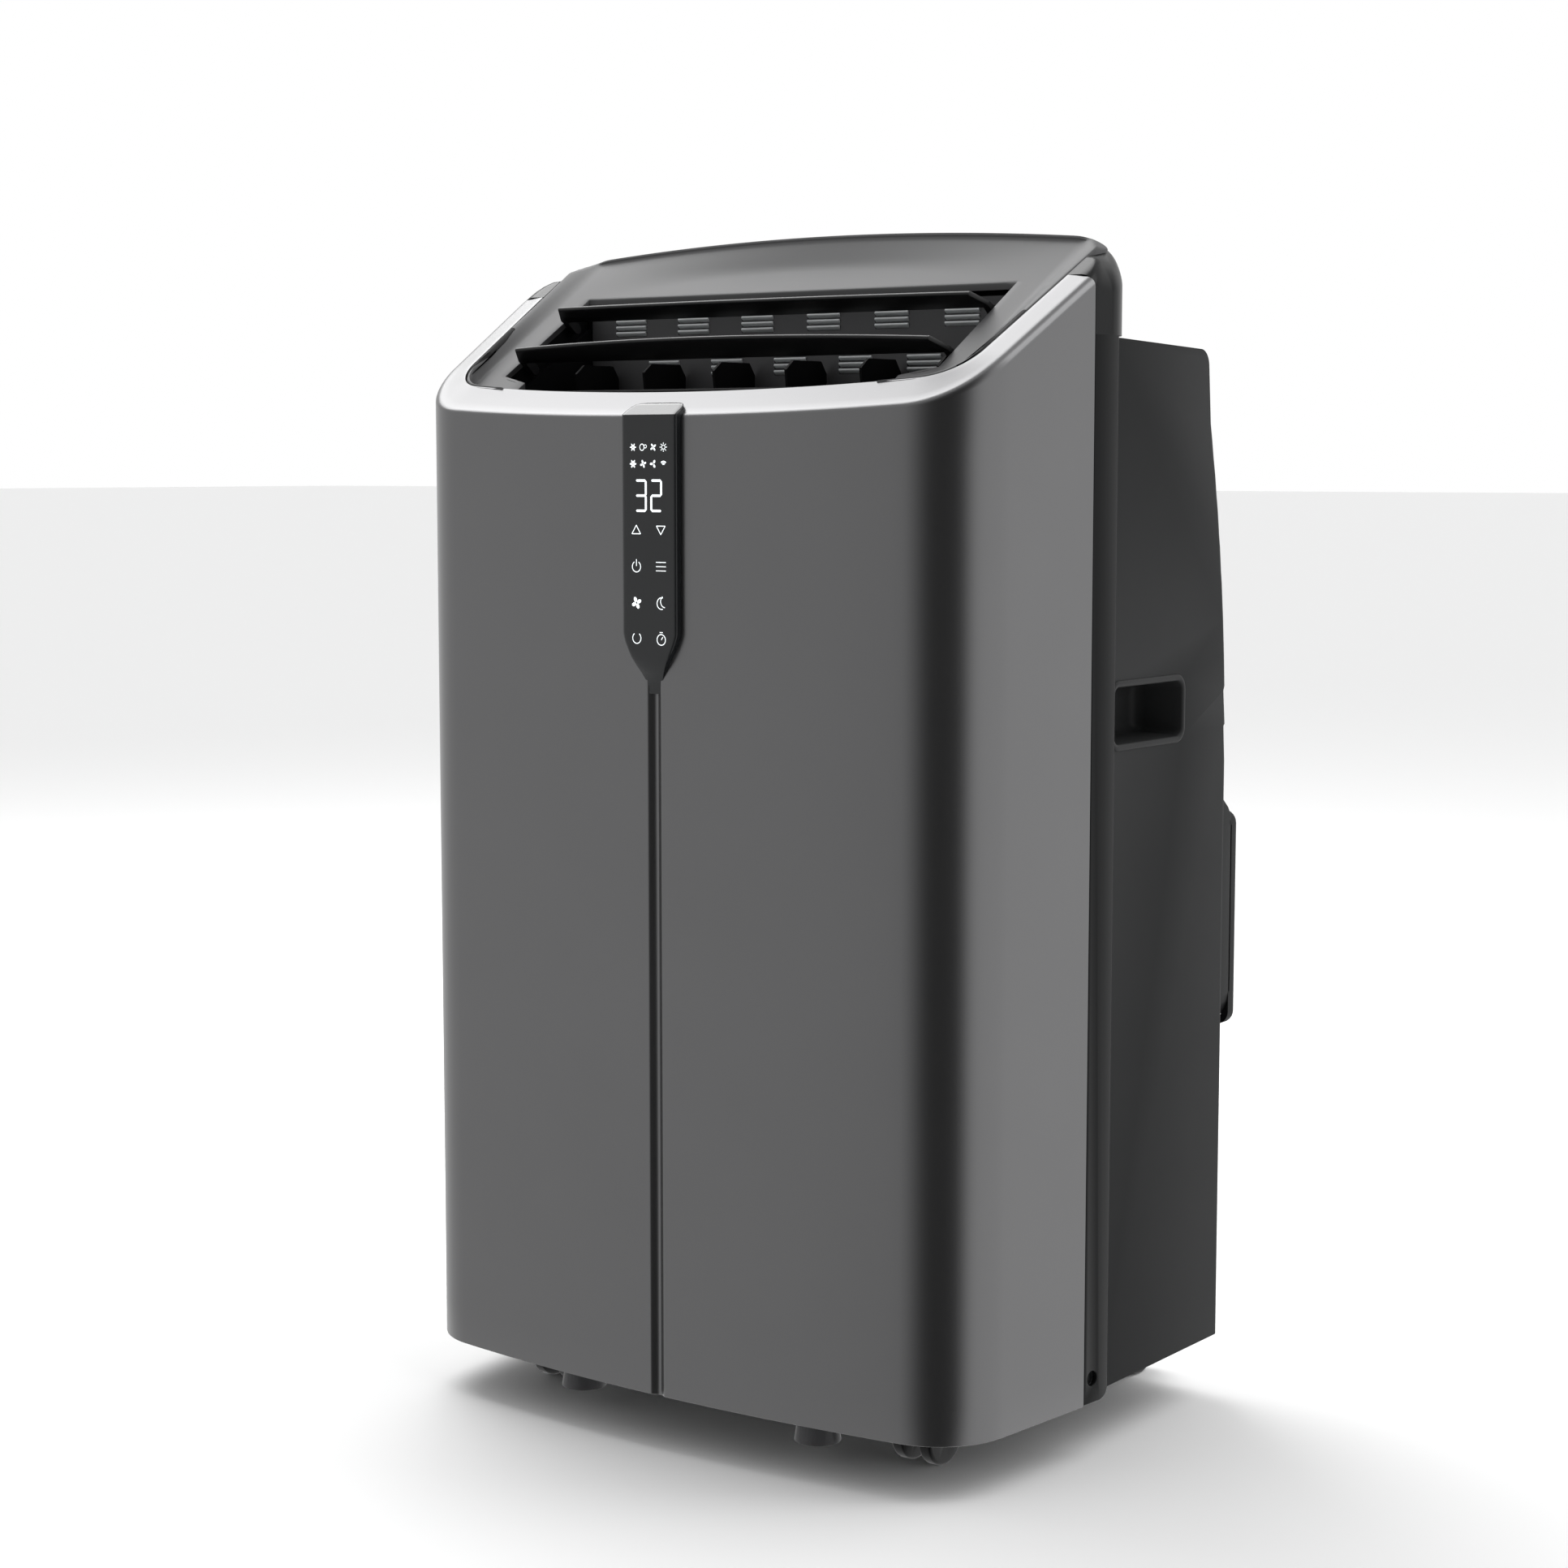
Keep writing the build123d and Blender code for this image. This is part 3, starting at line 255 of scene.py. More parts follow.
def make_finishes():
    """Every finish of the object by the record's slot names, and a few that only looks need."""
    grey = (0.128, 0.128, 0.130)
    return {
        "panel_paint": shade("satin_grey_paint", grey, 0.30, metal=0.92, grain=2600, tone=0.10,
            grain_depth=0.03, rough_swing=0.03),
        "hood_paint": shade("hood_grey_paint", (0.070, 0.070, 0.072), 0.5, specular=0.22,
            grain=2600, tone=0.08, grain_depth=0.03, rough_swing=0.03),
        "frame_black": shade("gloss_black_frame", (0.006, 0.0063, 0.0066), 0.22, specular=0.09,
            grain=1800, grain_depth=0.01, tone=0.15, rough_swing=0.05),
        "housing_black": shade("textured_black_housing", (0.011, 0.0115, 0.012), 0.55,
            specular=0.10, grain=1500, grain_depth=0.12, tone=0.16),
        "grip_black": shade("grip_black", (0.018, 0.0185, 0.019), 0.5, specular=0.12, grain=1500,
            grain_depth=0.1),
        "strip_gloss": shade("gloss_touch_strip", (0.013, 0.014, 0.015), 0.16, specular=0.26,
            coat=0.1, grain=600, grain_depth=0.0, tone=0.08, rough_swing=0.02),
        # black plastic made darker than its own colour so the inside of the outlet reads as
        # shaded: partly the real black, partly painted shade
        "duct_black": shade("duct_black_plastic_painted_shade", (0.0035, 0.0035, 0.004), 0.55, specular=0.06,
            grain=1300, grain_depth=0.06, tone=0.2),
        "louver_black": shade("louver_black_plastic", (0.007, 0.007, 0.0075), 0.36, specular=0.25,
            grain=1600, grain_depth=0.03, tone=0.15),
        "foot_plastic": shade("foot_grey_plastic", (0.075, 0.075, 0.078), 0.45, specular=0.2,
            grain=1100, grain_depth=0.06, tone=0.08),
        "castor_black": shade("castor_nylon", (0.007, 0.007, 0.0075), 0.42, specular=0.12,
            grain_depth=0.05, tone=0.2),
        "filter_mesh": shade("filter_mesh", (0.05, 0.055, 0.06), 0.7, grain=700, grain_depth=0.4,
            tone=0.5),
        "seal_rubber": shade("seal_rubber", (0.020, 0.020, 0.021), 0.72, specular=0.3, grain=1000,
            grain_depth=0.08, tone=0.2),
        "galvanised": shade("galvanised_steel", (0.50, 0.51, 0.53), 0.42, metal=1.0, grain=160,
            tone=0.22, mottle=60),
        "compressor_paint": shade("compressor_enamel", (0.018, 0.019, 0.022), 0.3, coat=0.3,
            grain=400, grain_depth=0.06, tone=0.2),
        "copper": shade("copper_tube", (0.74, 0.33, 0.18), 0.32, metal=1.0, grain=350, tone=0.22,
            mottle=40),
        "fin_aluminium": shade("fin_aluminium", (0.66, 0.67, 0.68), 0.38, metal=1.0,
            grain_depth=0.1, tone=0.18, brush=(1.0, 1.0, 0.15)),
        "white_plastic": shade("white_plastic", (0.72, 0.72, 0.69), 0.42, grain_depth=0.04,
            tone=0.05),
        "motor_steel": shade("motor_steel", (0.36, 0.37, 0.38), 0.36, metal=1.0, grain=700,
            tone=0.2, mottle=50),
        "board_green": shade("board_green", (0.02, 0.13, 0.05), 0.4, grain=500, grain_depth=0.05,
            tone=0.3),
        "capacitor_metal": shade("capacitor_can", (0.62, 0.63, 0.64), 0.3, metal=1.0, grain=500,
            tone=0.15),
        "screw_steel": shade("screw_steel", (0.10, 0.10, 0.105), 0.34, metal=1.0, tone=0.25),
        "guard_slat": shade("guard_slat_grey", (0.55, 0.57, 0.58), 0.35, grain=1300,
            grain_depth=0.03, tone=0.10),
        "icon_light": shade("icon_light", (0.80, 0.84, 0.85), 0.5, grain_depth=0.0, tone=0.03,
            glow=(0.80, 0.86, 0.88)),
    }


FINISH = make_finishes()


# ---- mesh helpers ----
def piece(name, mesh, finish, body, replaces=()):
    """Link a finished mesh as a piece of the object."""
    obj = placed(name, mesh)
    if not mesh.materials:
        mesh.materials.append(FINISH[finish])
    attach(obj, body)
    if replaces:
        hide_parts(*replaces)
    return obj


def smooth(mesh, angle=35.0):
    """Smooth shading that keeps edges sharper than angle crisp."""
    limit = math.radians(angle)
    work = opened(mesh)
    for face in work.faces:
        face.smooth = True
    for edge in work.edges:
        edge.smooth = len(edge.link_faces) == 2 and edge.calc_face_angle(0.0) < limit
    work.to_mesh(mesh)
    work.free()


def opened(mesh):
    """The mesh as a bmesh to edit."""
    work = bmesh.new()
    work.from_mesh(mesh)
    return work


def dots(work, points):
    """A vertex at each point."""
    return [work.verts.new(point) for point in points]


def bevel(width, segments, **extra):
    """Modifier that rounds the edges where faces meet at an angle; width in millimetres."""
    return ("BEVEL", {"width": width * MM, "segments": segments, "limit_method": "ANGLE",
                      **extra})


def tube(work, low, high):
    """Closed solid between two loops of vertices."""
    work.faces.new(low)
    work.faces.new(high)
    join(work, low, high, closed=True)


def join(work, low, high, closed=False):
    """Faces between two rows of vertices; closed also joins their ends."""
    for j in range(len(low) if closed else len(low) - 1):
        k = (j + 1) % len(low)
        work.faces.new((low[j], low[k], high[k], high[j]))


def from_rows(name, rows, closed=False, caps=False):
    """Mesh from rows of points; closed joins the last row to the first, caps fill the ends."""
    work = bmesh.new()
    grid = [dots(work, row) for row in rows]
    count = len(rows) if closed else len(rows) - 1
    for i in range(count):
        join(work, grid[i], grid[(i + 1) % len(rows)])
    if caps:
        work.faces.new([row[0] for row in grid])
        work.faces.new([row[-1] for row in reversed(grid)])
    return finish_mesh(name, work)


def finish_mesh(name, work, merge=0.00001):
    """Merge doubles, face the normals outward and keep the bmesh as a mesh."""
    bmesh.ops.remove_doubles(work, verts=work.verts, dist=merge)
    bmesh.ops.dissolve_degenerate(work, dist=merge, edges=work.edges)
    bmesh.ops.recalc_face_normals(work, faces=work.faces)
    mesh = bpy.data.meshes.new(name)
    work.to_mesh(mesh)
    work.free()
    return mesh


def modified(mesh, *modifiers):
    """The mesh after temporary modifiers, each given as (type, settings)."""
    obj = placed("work", mesh)
    for kind, settings in modifiers:
        modifier = obj.modifiers.new(kind.lower(), kind)
        for key, value in settings.items():
            setattr(modifier, key, value)
    graph = bpy.context.evaluated_depsgraph_get()
    made = bpy.data.meshes.new_from_object(obj.evaluated_get(graph))
    bpy.data.objects.remove(obj)
    return made


def without(mesh, tool):
    """The mesh with another closed mesh cut out of it."""
    cutter = placed("cutter", tool)
    made = modified(mesh, ("BOOLEAN", {"operation": "DIFFERENCE", "solver": "EXACT",
                                       "object": cutter}))
    bpy.data.objects.remove(cutter)
    made.materials.clear()
    return made


def soft_copy(node, finish, body, width):
    """A CAD node's shape with its hard edges rounded, standing for the node."""
    work = opened(frame["nodes"][node].data)
    bmesh.ops.remove_doubles(work, verts=work.verts, dist=0.00002)
    bmesh.ops.dissolve_limit(work, angle_limit=math.radians(0.4), verts=work.verts,
                             edges=work.edges)
    bmesh.ops.recalc_face_normals(work, faces=work.faces)
    name = node + "_shape"
    mesh = bpy.data.meshes.new(name)
    work.to_mesh(mesh)
    work.free()
    made = modified(mesh, bevel(width, 2, angle_limit=math.radians(40)))
    made.materials.clear()
    smooth(made, 50.0)
    return piece(name, made, finish, body, (node,))


# ---- plan outline ----
def side_x(y, inset=0.0):
    """Half width of the flared sides at depth y, drawn in by inset."""
    radius = CORNER_R - inset
    along = y - CORNER_Y + radius * math.sin(FLARE)
    return CORNER_X + radius * math.cos(FLARE) + along * math.tan(FLARE)


def top_z(y):
    """Height of the sloping top at depth y."""
    rise = SLOPE_Z + SLOPE * (y - SLOPE_Y)
    return rise + CROWN * (y - SLOPE_Y) ** 2 if y < SLOPE_Y else rise


def ledge_z(y):
    """Height of the sunk ledge and deck at depth y."""
    return LEDGE_Z + LEDGE_SLOPE * (y - LEDGE_Y)


def eased(t):
    """Smooth step from 0 to 1."""
    t = min(max(t, 0.0), 1.0)
    return t * t * (3 - 2 * t)


def soft_max(a, b, reach):
    """The larger value, blended where the two are within reach."""
    share = max(reach - abs(a - b), 0.0) / reach
    return max(a, b) + share * share * reach / 4


def soft_min(a, b, reach):
    """The smaller value, blended where the two are within reach."""
    return -soft_max(-a, -b, reach)


def panel_stations():
    """Right half of the front panel's plan, as (kind, value), from the middle to the rear."""
    near = (0, 1, 2, 3, 3.8, 4.5, 5.2, 5.8, 6.6, 8, 11, 16, 20.5, 22.5, 27, 34)
    reach = FRONT_R * math.sin(TURN)
    far = [34 + (reach - 34) * i / 16 for i in range(1, 17)]
    stations = [("front", math.asin(x / FRONT_R)) for x in (*near, *far)]
    start, end = TURN - math.pi / 2, -FLARE
    stations += [("corner", start + (end - start) * i / 18) for i in range(1, 19)]
    stations += [("side", i / 10) for i in range(1, 11)]
    return stations


def spot(station, inset, back):
    """Plan point of a station of the outline drawn inset from the outside."""
    kind, value = station
    radius = CORNER_R - inset
    if kind == "front":
        return (FRONT_R - inset) * math.sin(value), FRONT_R - (FRONT_R - inset) * math.cos(value)
    if kind == "corner":
        return CORNER_X + radius * math.cos(value), CORNER_Y + radius * math.sin(value)
    end = CORNER_Y - radius * math.sin(FLARE)
    y = end + (back - end) * value
    return side_x(y, inset), y


def side_share(station):
    """0 on the front of the outline, 1 on its sides, eased round the corner."""
    kind, value = station
    if kind == "front":
        return 0.0
    if kind == "side":
        return 1.0
    start = TURN - math.pi / 2
    return eased((value - start) / (-FLARE - start))


def both_sides(half):
    """Mirror a right-hand row of points to the left and join them at the middle."""
    return [Vector((-p.x, p.y, p.z)) for p in reversed(half[1:])] + half


# ---- front panel ----
def groove(x, z):
    """Depth of the channel below the strip."""
    if abs(x) >= CHANNEL_X or z > CHANNEL_TOP_Z:
        return 0.0
    fade = 1 - eased((z - 620) / 25)
    return CHANNEL_DEPTH * (0.5 + 0.5 * math.cos(math.pi * x / CHANNEL_X)) ** 0.75 * fade


def lip_row(turn, band):
    """Lip point: (front inset, front drop, side inset, side drop) at a share of turn and band."""
    edge = math.sin(turn * math.pi / 2)
    back = 1 - math.cos(turn * math.pi / 2)
    front = (3.0 * back + 17.0 * band, 8.2 - 2.25 * edge - 5.95 * band)
    side = (7.0 * back + 13.0 * band, 8.0 - 6.4 * edge - 1.6 * band)
    return front + side


def panel_sections():
    """Cross-section of the panel's wall and lip: (inset, rule, value), inner bottom first."""
    rows = [(3.0, "low", 0.0), (1.0, "low", 0.0), (0.3, "low", 0.3), (0.0, "low", 1.0)]
    rows += [(0.0, "low", z - PANEL_BOTTOM) for z in (60, 200, 350, 470, 500, 560, 615, 632)]
    steps = 7
    rows += [(0.0, "lip", lip_row(i / steps, 0.0)) for i in range(steps + 1)]
    rows += [(0.0, "lip", lip_row(1.0, t)) for t in (0.25, 0.5, 0.75, 0.92)]
    rows += [(LIP - 0.35, "rim", 0.15), (LIP, "rim", 0.7), (LIP, "rim", 3.0), (LIP, "rim", 11.0)]
    rows += [(3.0, "rim", 13.0), (3.0, "low", 560.0), (3.0, "low", 200.0)]
    return rows


def make_front_panel():
    """Painted U-shaped shell: wall, rounded lip, rim and inner face."""
    stations = panel_stations()
    rows = []
    for inset, rule, value in panel_sections():
        half = []
        for station in stations:
            drop = value
            if rule == "lip":
                share = side_share(station)
                inset, drop = (value[i] + (value[i + 2] - value[i]) * share for i in (0, 1))
            x, y = spot(station, inset, SEAM_Y)
            z = PANEL_BOTTOM + value if rule == "low" else top_z(y) - drop
            push = groove(x, z) if inset < 3.0 else 0.0
            half.append(at(x, y + push, z))
        rows.append(both_sides(half))
    mesh = from_rows("front_panel_shell", rows, closed=True, caps=True)
    smooth(mesh, 42.0)
    piece("front_panel_shell", mesh, "panel_paint", "cabinet", ("front_panel",))


# ---- hood ----
def hood_edge_x(y):
    """Outer edge of the hood at depth y."""
    radius = CORNER_R - HOOD_INSET
    end = CORNER_Y - radius * math.sin(FLARE)
    front_end = CORNER_Y - radius * math.cos(TURN)
    if y < front_end:
        return math.sqrt(max((y - HOOD_INSET) * 2 * (FRONT_R - HOOD_INSET), 0.0))
    if y < end:
        return CORNER_X + math.sqrt(radius ** 2 - (y - CORNER_Y) ** 2)
    x = side_x(y, HOOD_INSET)
    turn = y - (HOOD_BACK - HOOD_CORNER)
    if turn > 0:
        x -= HOOD_CORNER - math.sqrt(max(HOOD_CORNER ** 2 - turn ** 2, 0.0))
    return x


def outlet_edge_x(y):
    """Side edge of the outlet at depth y."""
    if y >= 57.7:
        return OUTLET_X
    return 148.0 + 24.0 * min(max((y - 50.0) / 7.7, 0.0), 1.0)


def edge_gap(x, y):
    """Distance from a point of the hood to its outer edge."""
    centre_y = HOOD_BACK - HOOD_CORNER
    centre_x = side_x(HOOD_BACK, HOOD_INSET) - HOOD_CORNER
    if y > centre_y and x > centre_x:
        return HOOD_CORNER - math.hypot(x - centre_x, y - centre_y)
    return min(hood_edge_x(y) - x, HOOD_BACK - y)


def round_off(gap, radius):
    """Drop of a rounded edge at a distance gap from it."""
    gap = min(max(gap, 0.0), radius)
    return radius - math.sqrt(radius ** 2 - (radius - gap) ** 2)


def crest_arch(x):
    """Height of the crest, which rounds down at its ends."""
    return CREST_Z - 0.1 - x * x / (2 * CREST_ARCH) - max(abs(x) - CREST_END_X, 0.0) ** 2 / 90


def hood_z(x, y):
    """Height of the hood: raised rim, sunk ledge, deck, and the face up to the crest."""
    out = hood_edge_x(y)
    foot = min(LEDGE_X, out - RIM_REACH)
    ledge = ledge_z(y)
    rise = (x - foot) / max(out - RIM_X - foot, 1.0)
    ramp = 0.55 * min(max(rise, 0.0), 1.0) + 0.45 * eased(rise)
    side = ledge + (top_z(y) - ledge) * ramp
    crease = CREASE_Y - CREASE_BOW * x * x
    arch = crest_arch(x)
    base = ledge_z(crease)
    shoulder = arch - SHOULDER
    if y < CREST_Y:
        face = base + (y - crease) * (shoulder - base) / (CREST_Y - crease)
    else:
        face = shoulder + (y - CREST_Y) * 2.2
    z = soft_max(side, face, 2.2)
    z = soft_min(z, arch, 1.2)
    z -= round_off(edge_gap(x, y), 1.3)
    if y < OUTLET_BACK + 2 and x < OUTLET_X + 2:
        z -= round_off(max(x - outlet_edge_x(y), y - OUTLET_BACK), 0.9)
    return z


def hood_rows():
    """Depths of the hood's rows: arms first, then deck and crest."""
    arms = [29.6, 31, 33, 36, 40, 45, 50, 53, 55.5, 57.7, 60, 66, *range(74, 144, 8), 142.5]
    deck = [144.5, 144.8, 145.4, 147, 150, 153, 156, 159, 161, 163, 165, 167, 168.5, 170, 171.5,
            173, 175, 177, 179, 181, 183, 184, 184.8, 185.4, 186, 186.6, 187.1, 187.5, 187.8, 188]
    return arms, deck


def arm_columns(y):
    """Widths across the arm at depth y, from the outlet to the outer edge."""
    inner, out = outlet_edge_x(y), hood_edge_x(y)
    foot = min(LEDGE_X, out - RIM_REACH)
    width = max(foot - inner, 0.05)
    columns = [inner, inner + 0.25, inner + 0.9]
    columns += [inner + 0.9 + (width - 0.9) * t for t in (0.25, 0.5, 0.75, 0.92, 1.0)]
    strip = out - RIM_X
    columns += [foot + (strip - foot) * t for t in (0.12, 0.25, 0.4, 0.55, 0.7, 0.85, 1.0)]
    columns += [out - 1.3, out - 0.8, out - 0.4, out - 0.12, out]
    low, high = inner, max(out, inner + 0.02)
    return [min(max(x, low), high) for x in sorted(columns)]


def make_hood():
    """Skin of the hood: an arm on each side of the outlet, the deck and the crest."""
    arms, deck = hood_rows()
    middle = [OUTLET_X * i / 22 for i in range(22)]
    work = bmesh.new()

    def vertex(x, y, z):
        return work.verts.new(at(x, y, z))

    for side in (1, -1):
        previous = None
        for y in arms + deck:
            columns = arm_columns(y)
            row = [vertex(side * x, y, hood_z(x, y)) for x in columns]
            wide = None
            if y in deck:
                wide = [vertex(side * x, y, hood_z(x, y)) for x in middle]
            skirt = vertex(side * columns[-1], y, min(hood_z(columns[-1], y) - SKIRT,
                                                      top_z(y) - SKIRT))
            wall = None
            if not wide:
                wall = vertex(side * columns[0], y, hood_z(columns[0], y) - OUTLET_LIP)
            if previous:
                old_row, old_wide, old_skirt, old_wall = previous
                join(work, row, old_row)
                work.faces.new((row[-1], skirt, old_skirt, old_row[-1]))
                if wide and old_wide:
                    join(work, wide + [row[0]], old_wide + [old_row[0]])
                if wall and old_wall:
                    work.faces.new((wall, row[0], old_row[0], old_wall))
            if wide and not previous[1]:
                edge = [vertex(side * x, y, hood_z(x, y) - OUTLET_LIP) for x in middle]
                corner = vertex(side * columns[0], y, hood_z(columns[0], y) - OUTLET_LIP)
                join(work, wide + [row[0]], edge + [corner])
                work.faces.new((corner, row[0], previous[0][0], previous[3]))
            previous = (row, wide, skirt, wall)
        y = deck[-1]
        columns = middle + arm_columns(y)
        line = [vertex(side * x, y, hood_z(x, y)) for x in columns]
        lower = [vertex(side * x, y, hood_z(x, y) - SKIRT) for x in columns]
        for j in range(len(line) - 1):
            if columns[j + 1] - columns[j] > 0.001:
                work.faces.new((line[j], line[j + 1], lower[j + 1], lower[j]))
    shell = finish_mesh("hood_skin", work, 0.00003)
    shell = modified(shell, ("SOLIDIFY", {"thickness": 2.2 * MM, "offset": -1.0}))
    smooth(shell, 40.0)
    piece("hood", shell, "hood_paint", "cabinet", ("top_cover",))


def prism(name, outline, x_low, x_high):
    """Closed (Y, Z) outline drawn out along X, edges rounded."""
    work = bmesh.new()
    ring_low = dots(work, [at(x_low, y, z) for y, z in outline])
    ring_high = dots(work, [at(x_high, y, z) for y, z in outline])
    tube(work, ring_low, ring_high)
    mesh = finish_mesh(name, work)
    mesh = modified(mesh, bevel(0.4, 2))
    smooth(mesh, 40.0)
    return mesh


def make_cheeks():
    """Black walls under the outlet's side edges."""
    front, back = 58.5, 143.3
    outline = [(front, ledge_z(front) - 3.2), (front, top_z(front) - 25.5),
               (back, top_z(back) - 25.5), (back, ledge_z(back) - 3.2)]
    for side, label in SIDES:
        low, high = sorted((side * (OUTLET_X + 0.3), side * (OUTLET_X + 2.8)))
        mesh = prism(f"outlet_cheek_{label}", outline, low, high)
        piece(f"outlet_cheek_{label}", mesh, "duct_black", "cabinet", ("top_cover",))


# ---- middle frame ----
FRAME_DEPTHS = (141.3, 141.6, 142.5, 146, 150, 154, 157, 159)


def frame_stations():
    """Right half of the frame's plan from the panel seam to the middle of the back."""
    inner_r, outer_r = 8.5, 28.0
    stations = []
    for y in FRAME_DEPTHS:
        stations.append(((side_x(y), y), (side_x(y, 20.2), y + 0.12 * (y - SEAM_Y))))
    outer_c = (side_x(FRAME_BACK - outer_r) - outer_r / math.cos(FLARE), FRAME_BACK - outer_r)
    inner_y = 188.4 - inner_r
    inner_c = (side_x(inner_y, 20.2) - inner_r / math.cos(FLARE), inner_y)
    for i in range(13):
        angle = -FLARE + (math.pi / 2 + FLARE) * i / 12
        outer = (outer_c[0] + outer_r * math.cos(angle), outer_c[1] + outer_r * math.sin(angle))
        inner = (inner_c[0] + inner_r * math.cos(angle), inner_c[1] + inner_r * math.sin(angle))
        stations.append((outer, inner))
    for i in range(1, 11):
        x = 1 - i / 10
        stations.append(((outer_c[0] * x, FRAME_BACK), (inner_c[0] * x, 188.5)))
    return stations


def frame_top(outer, inner, share):
    """Point on the frame's shoulder; share runs from the outer wall to the hood's edge."""
    x = outer[0] + (inner[0] - outer[0]) * share
    y = outer[1] + (inner[1] - outer[1]) * share
    width = math.hypot(outer[0] - inner[0], outer[1] - inner[1])
    flat_z = soft_min(top_z(y), crest_arch(x) - 2.0, 1.5)
    reach = min(11.0, width * 0.75)
    gap = share * width
    drop = 0.85 * round_off(gap, reach) if gap < reach else 0.0
    return at(x, y, flat_z - 0.3 - drop)


def make_mid_frame():
    """Shoulder between the panel and the hood, and the two upright bands."""
    stations = frame_stations()
    step = len(FRAME_DEPTHS)
    shares = (0.0, 0.01, 0.03, 0.07, 0.13, 0.2, 0.28, 0.38, 0.5, 0.62, 0.75, 0.9, 0.985, 1.0)
    low_z = HOUSING_TOP + 0.8
    parts = []
    for group in (stations[:step], stations[step - 1:]):
        rows = [[at(outer[0], outer[1], low_z) for outer, _ in group]]
        for share in shares:
            rows.append([frame_top(outer, inner, share) for outer, inner in group])
        last = [frame_top(outer, inner, 1.0) for outer, inner in group]
        rows.append([Vector((p.x, p.y, p.z - SKIRT * MM)) for p in last])
        parts.append(rows)
    work = bmesh.new()
    for side in (1, -1):
        for rows in parts:
            grid = [dots(work, [(p.x * side, p.y, p.z) for p in row]) for row in rows]
            for low, high in zip(grid, grid[1:]):
                join(work, low, high)
    skin = finish_mesh("frame_skin", work, 0.00002)
    mesh = modified(skin, ("SOLIDIFY", {"thickness": 1.4 * MM, "offset": -1.0}))
    smooth(mesh, 40.0)
    piece("frame_shoulder", mesh, "frame_black", "cabinet", ("mid_frame",))
    for side, label in SIDES:
        piece(f"frame_band_{label}", frame_band(side), "frame_black", "cabinet",
              ("mid_frame",))


def frame_band(side):
    """Upright band beside the panel's rear edge, with a round socket near its foot."""
    front, back, thick = 141.3, 165.6, 5.0
    corner_r = 8.0
    outline = [(front, FRAME_BOTTOM)]
    for i in range(7):
        a = math.pi / 2 * i / 6
        outline.append((back - corner_r + corner_r * math.sin(a),
                        FRAME_BOTTOM + corner_r - corner_r * math.cos(a)))
    top = HOUSING_TOP + 0.8
    outline += [(back, top + 4), (front, top + 4)]
    work = bmesh.new()
    rings = []
    for inset in (0.0, thick):
        rings.append(dots(work, [at(side * side_x(y, inset), y, z) for y, z in outline]))
    tube(work, *rings)
    mesh = finish_mesh("band", work)
    drill = bmesh.new()
    socket = Matrix.Translation(at(side * side_x(149.5), 149.5, 52)) @ Matrix.Rotation(
        math.pi / 2, 4, "Y")
    bmesh.ops.create_cone(drill, cap_ends=True, segments=32, radius1=4.8 * MM,
                          radius2=4.8 * MM, depth=5.6 * MM, matrix=socket)
    mesh = without(mesh, finish_mesh("drill", drill))
    mesh = modified(mesh, bevel(0.7, 3, angle_limit=math.radians(30)))
    work = opened(mesh)
    bmesh.ops.bisect_plane(work, geom=work.verts[:] + work.edges[:] + work.faces[:],
                           plane_co=at(0, 0, top), plane_no=(0, 0, 1), clear_outer=True)
    bmesh.ops.holes_fill(work, edges=[edge for edge in work.edges if edge.is_boundary])
    mesh = finish_mesh("band", work)
    smooth(mesh, 40.0)
    return mesh


# ---- display strip ----
def strip_half_width(z):
    """Half width of the strip at height z, with the funnel eased into the channel."""
    if z > STRIP_CREASE_Z:
        past = max(strip_front(z) - (HOOK_Y - HOOK_R), 0.0)
        return STRIP_X - HOOK_R + math.sqrt(max(HOOK_R ** 2 - past ** 2, 0.0))
    if z >= STRIP_TAPER_Z:
        return STRIP_X
    t = (STRIP_TAPER_Z - z) / (STRIP_TAPER_Z - STRIP_TIP_Z)
    return STRIP_X - (STRIP_X - 5.6) * eased(min(t, 1.0) * 0.9 + 0.05)


def strip_front(z):
    """Depth of the strip's face at height z: flat, then hooking back over the lip."""
    if z <= STRIP_CREASE_Z:
        return FRONT_Y
    t = z - STRIP_CREASE_Z
    return FRONT_Y + 1.62 * t + 0.8 * max(t - 6.2, 0.0) ** 2


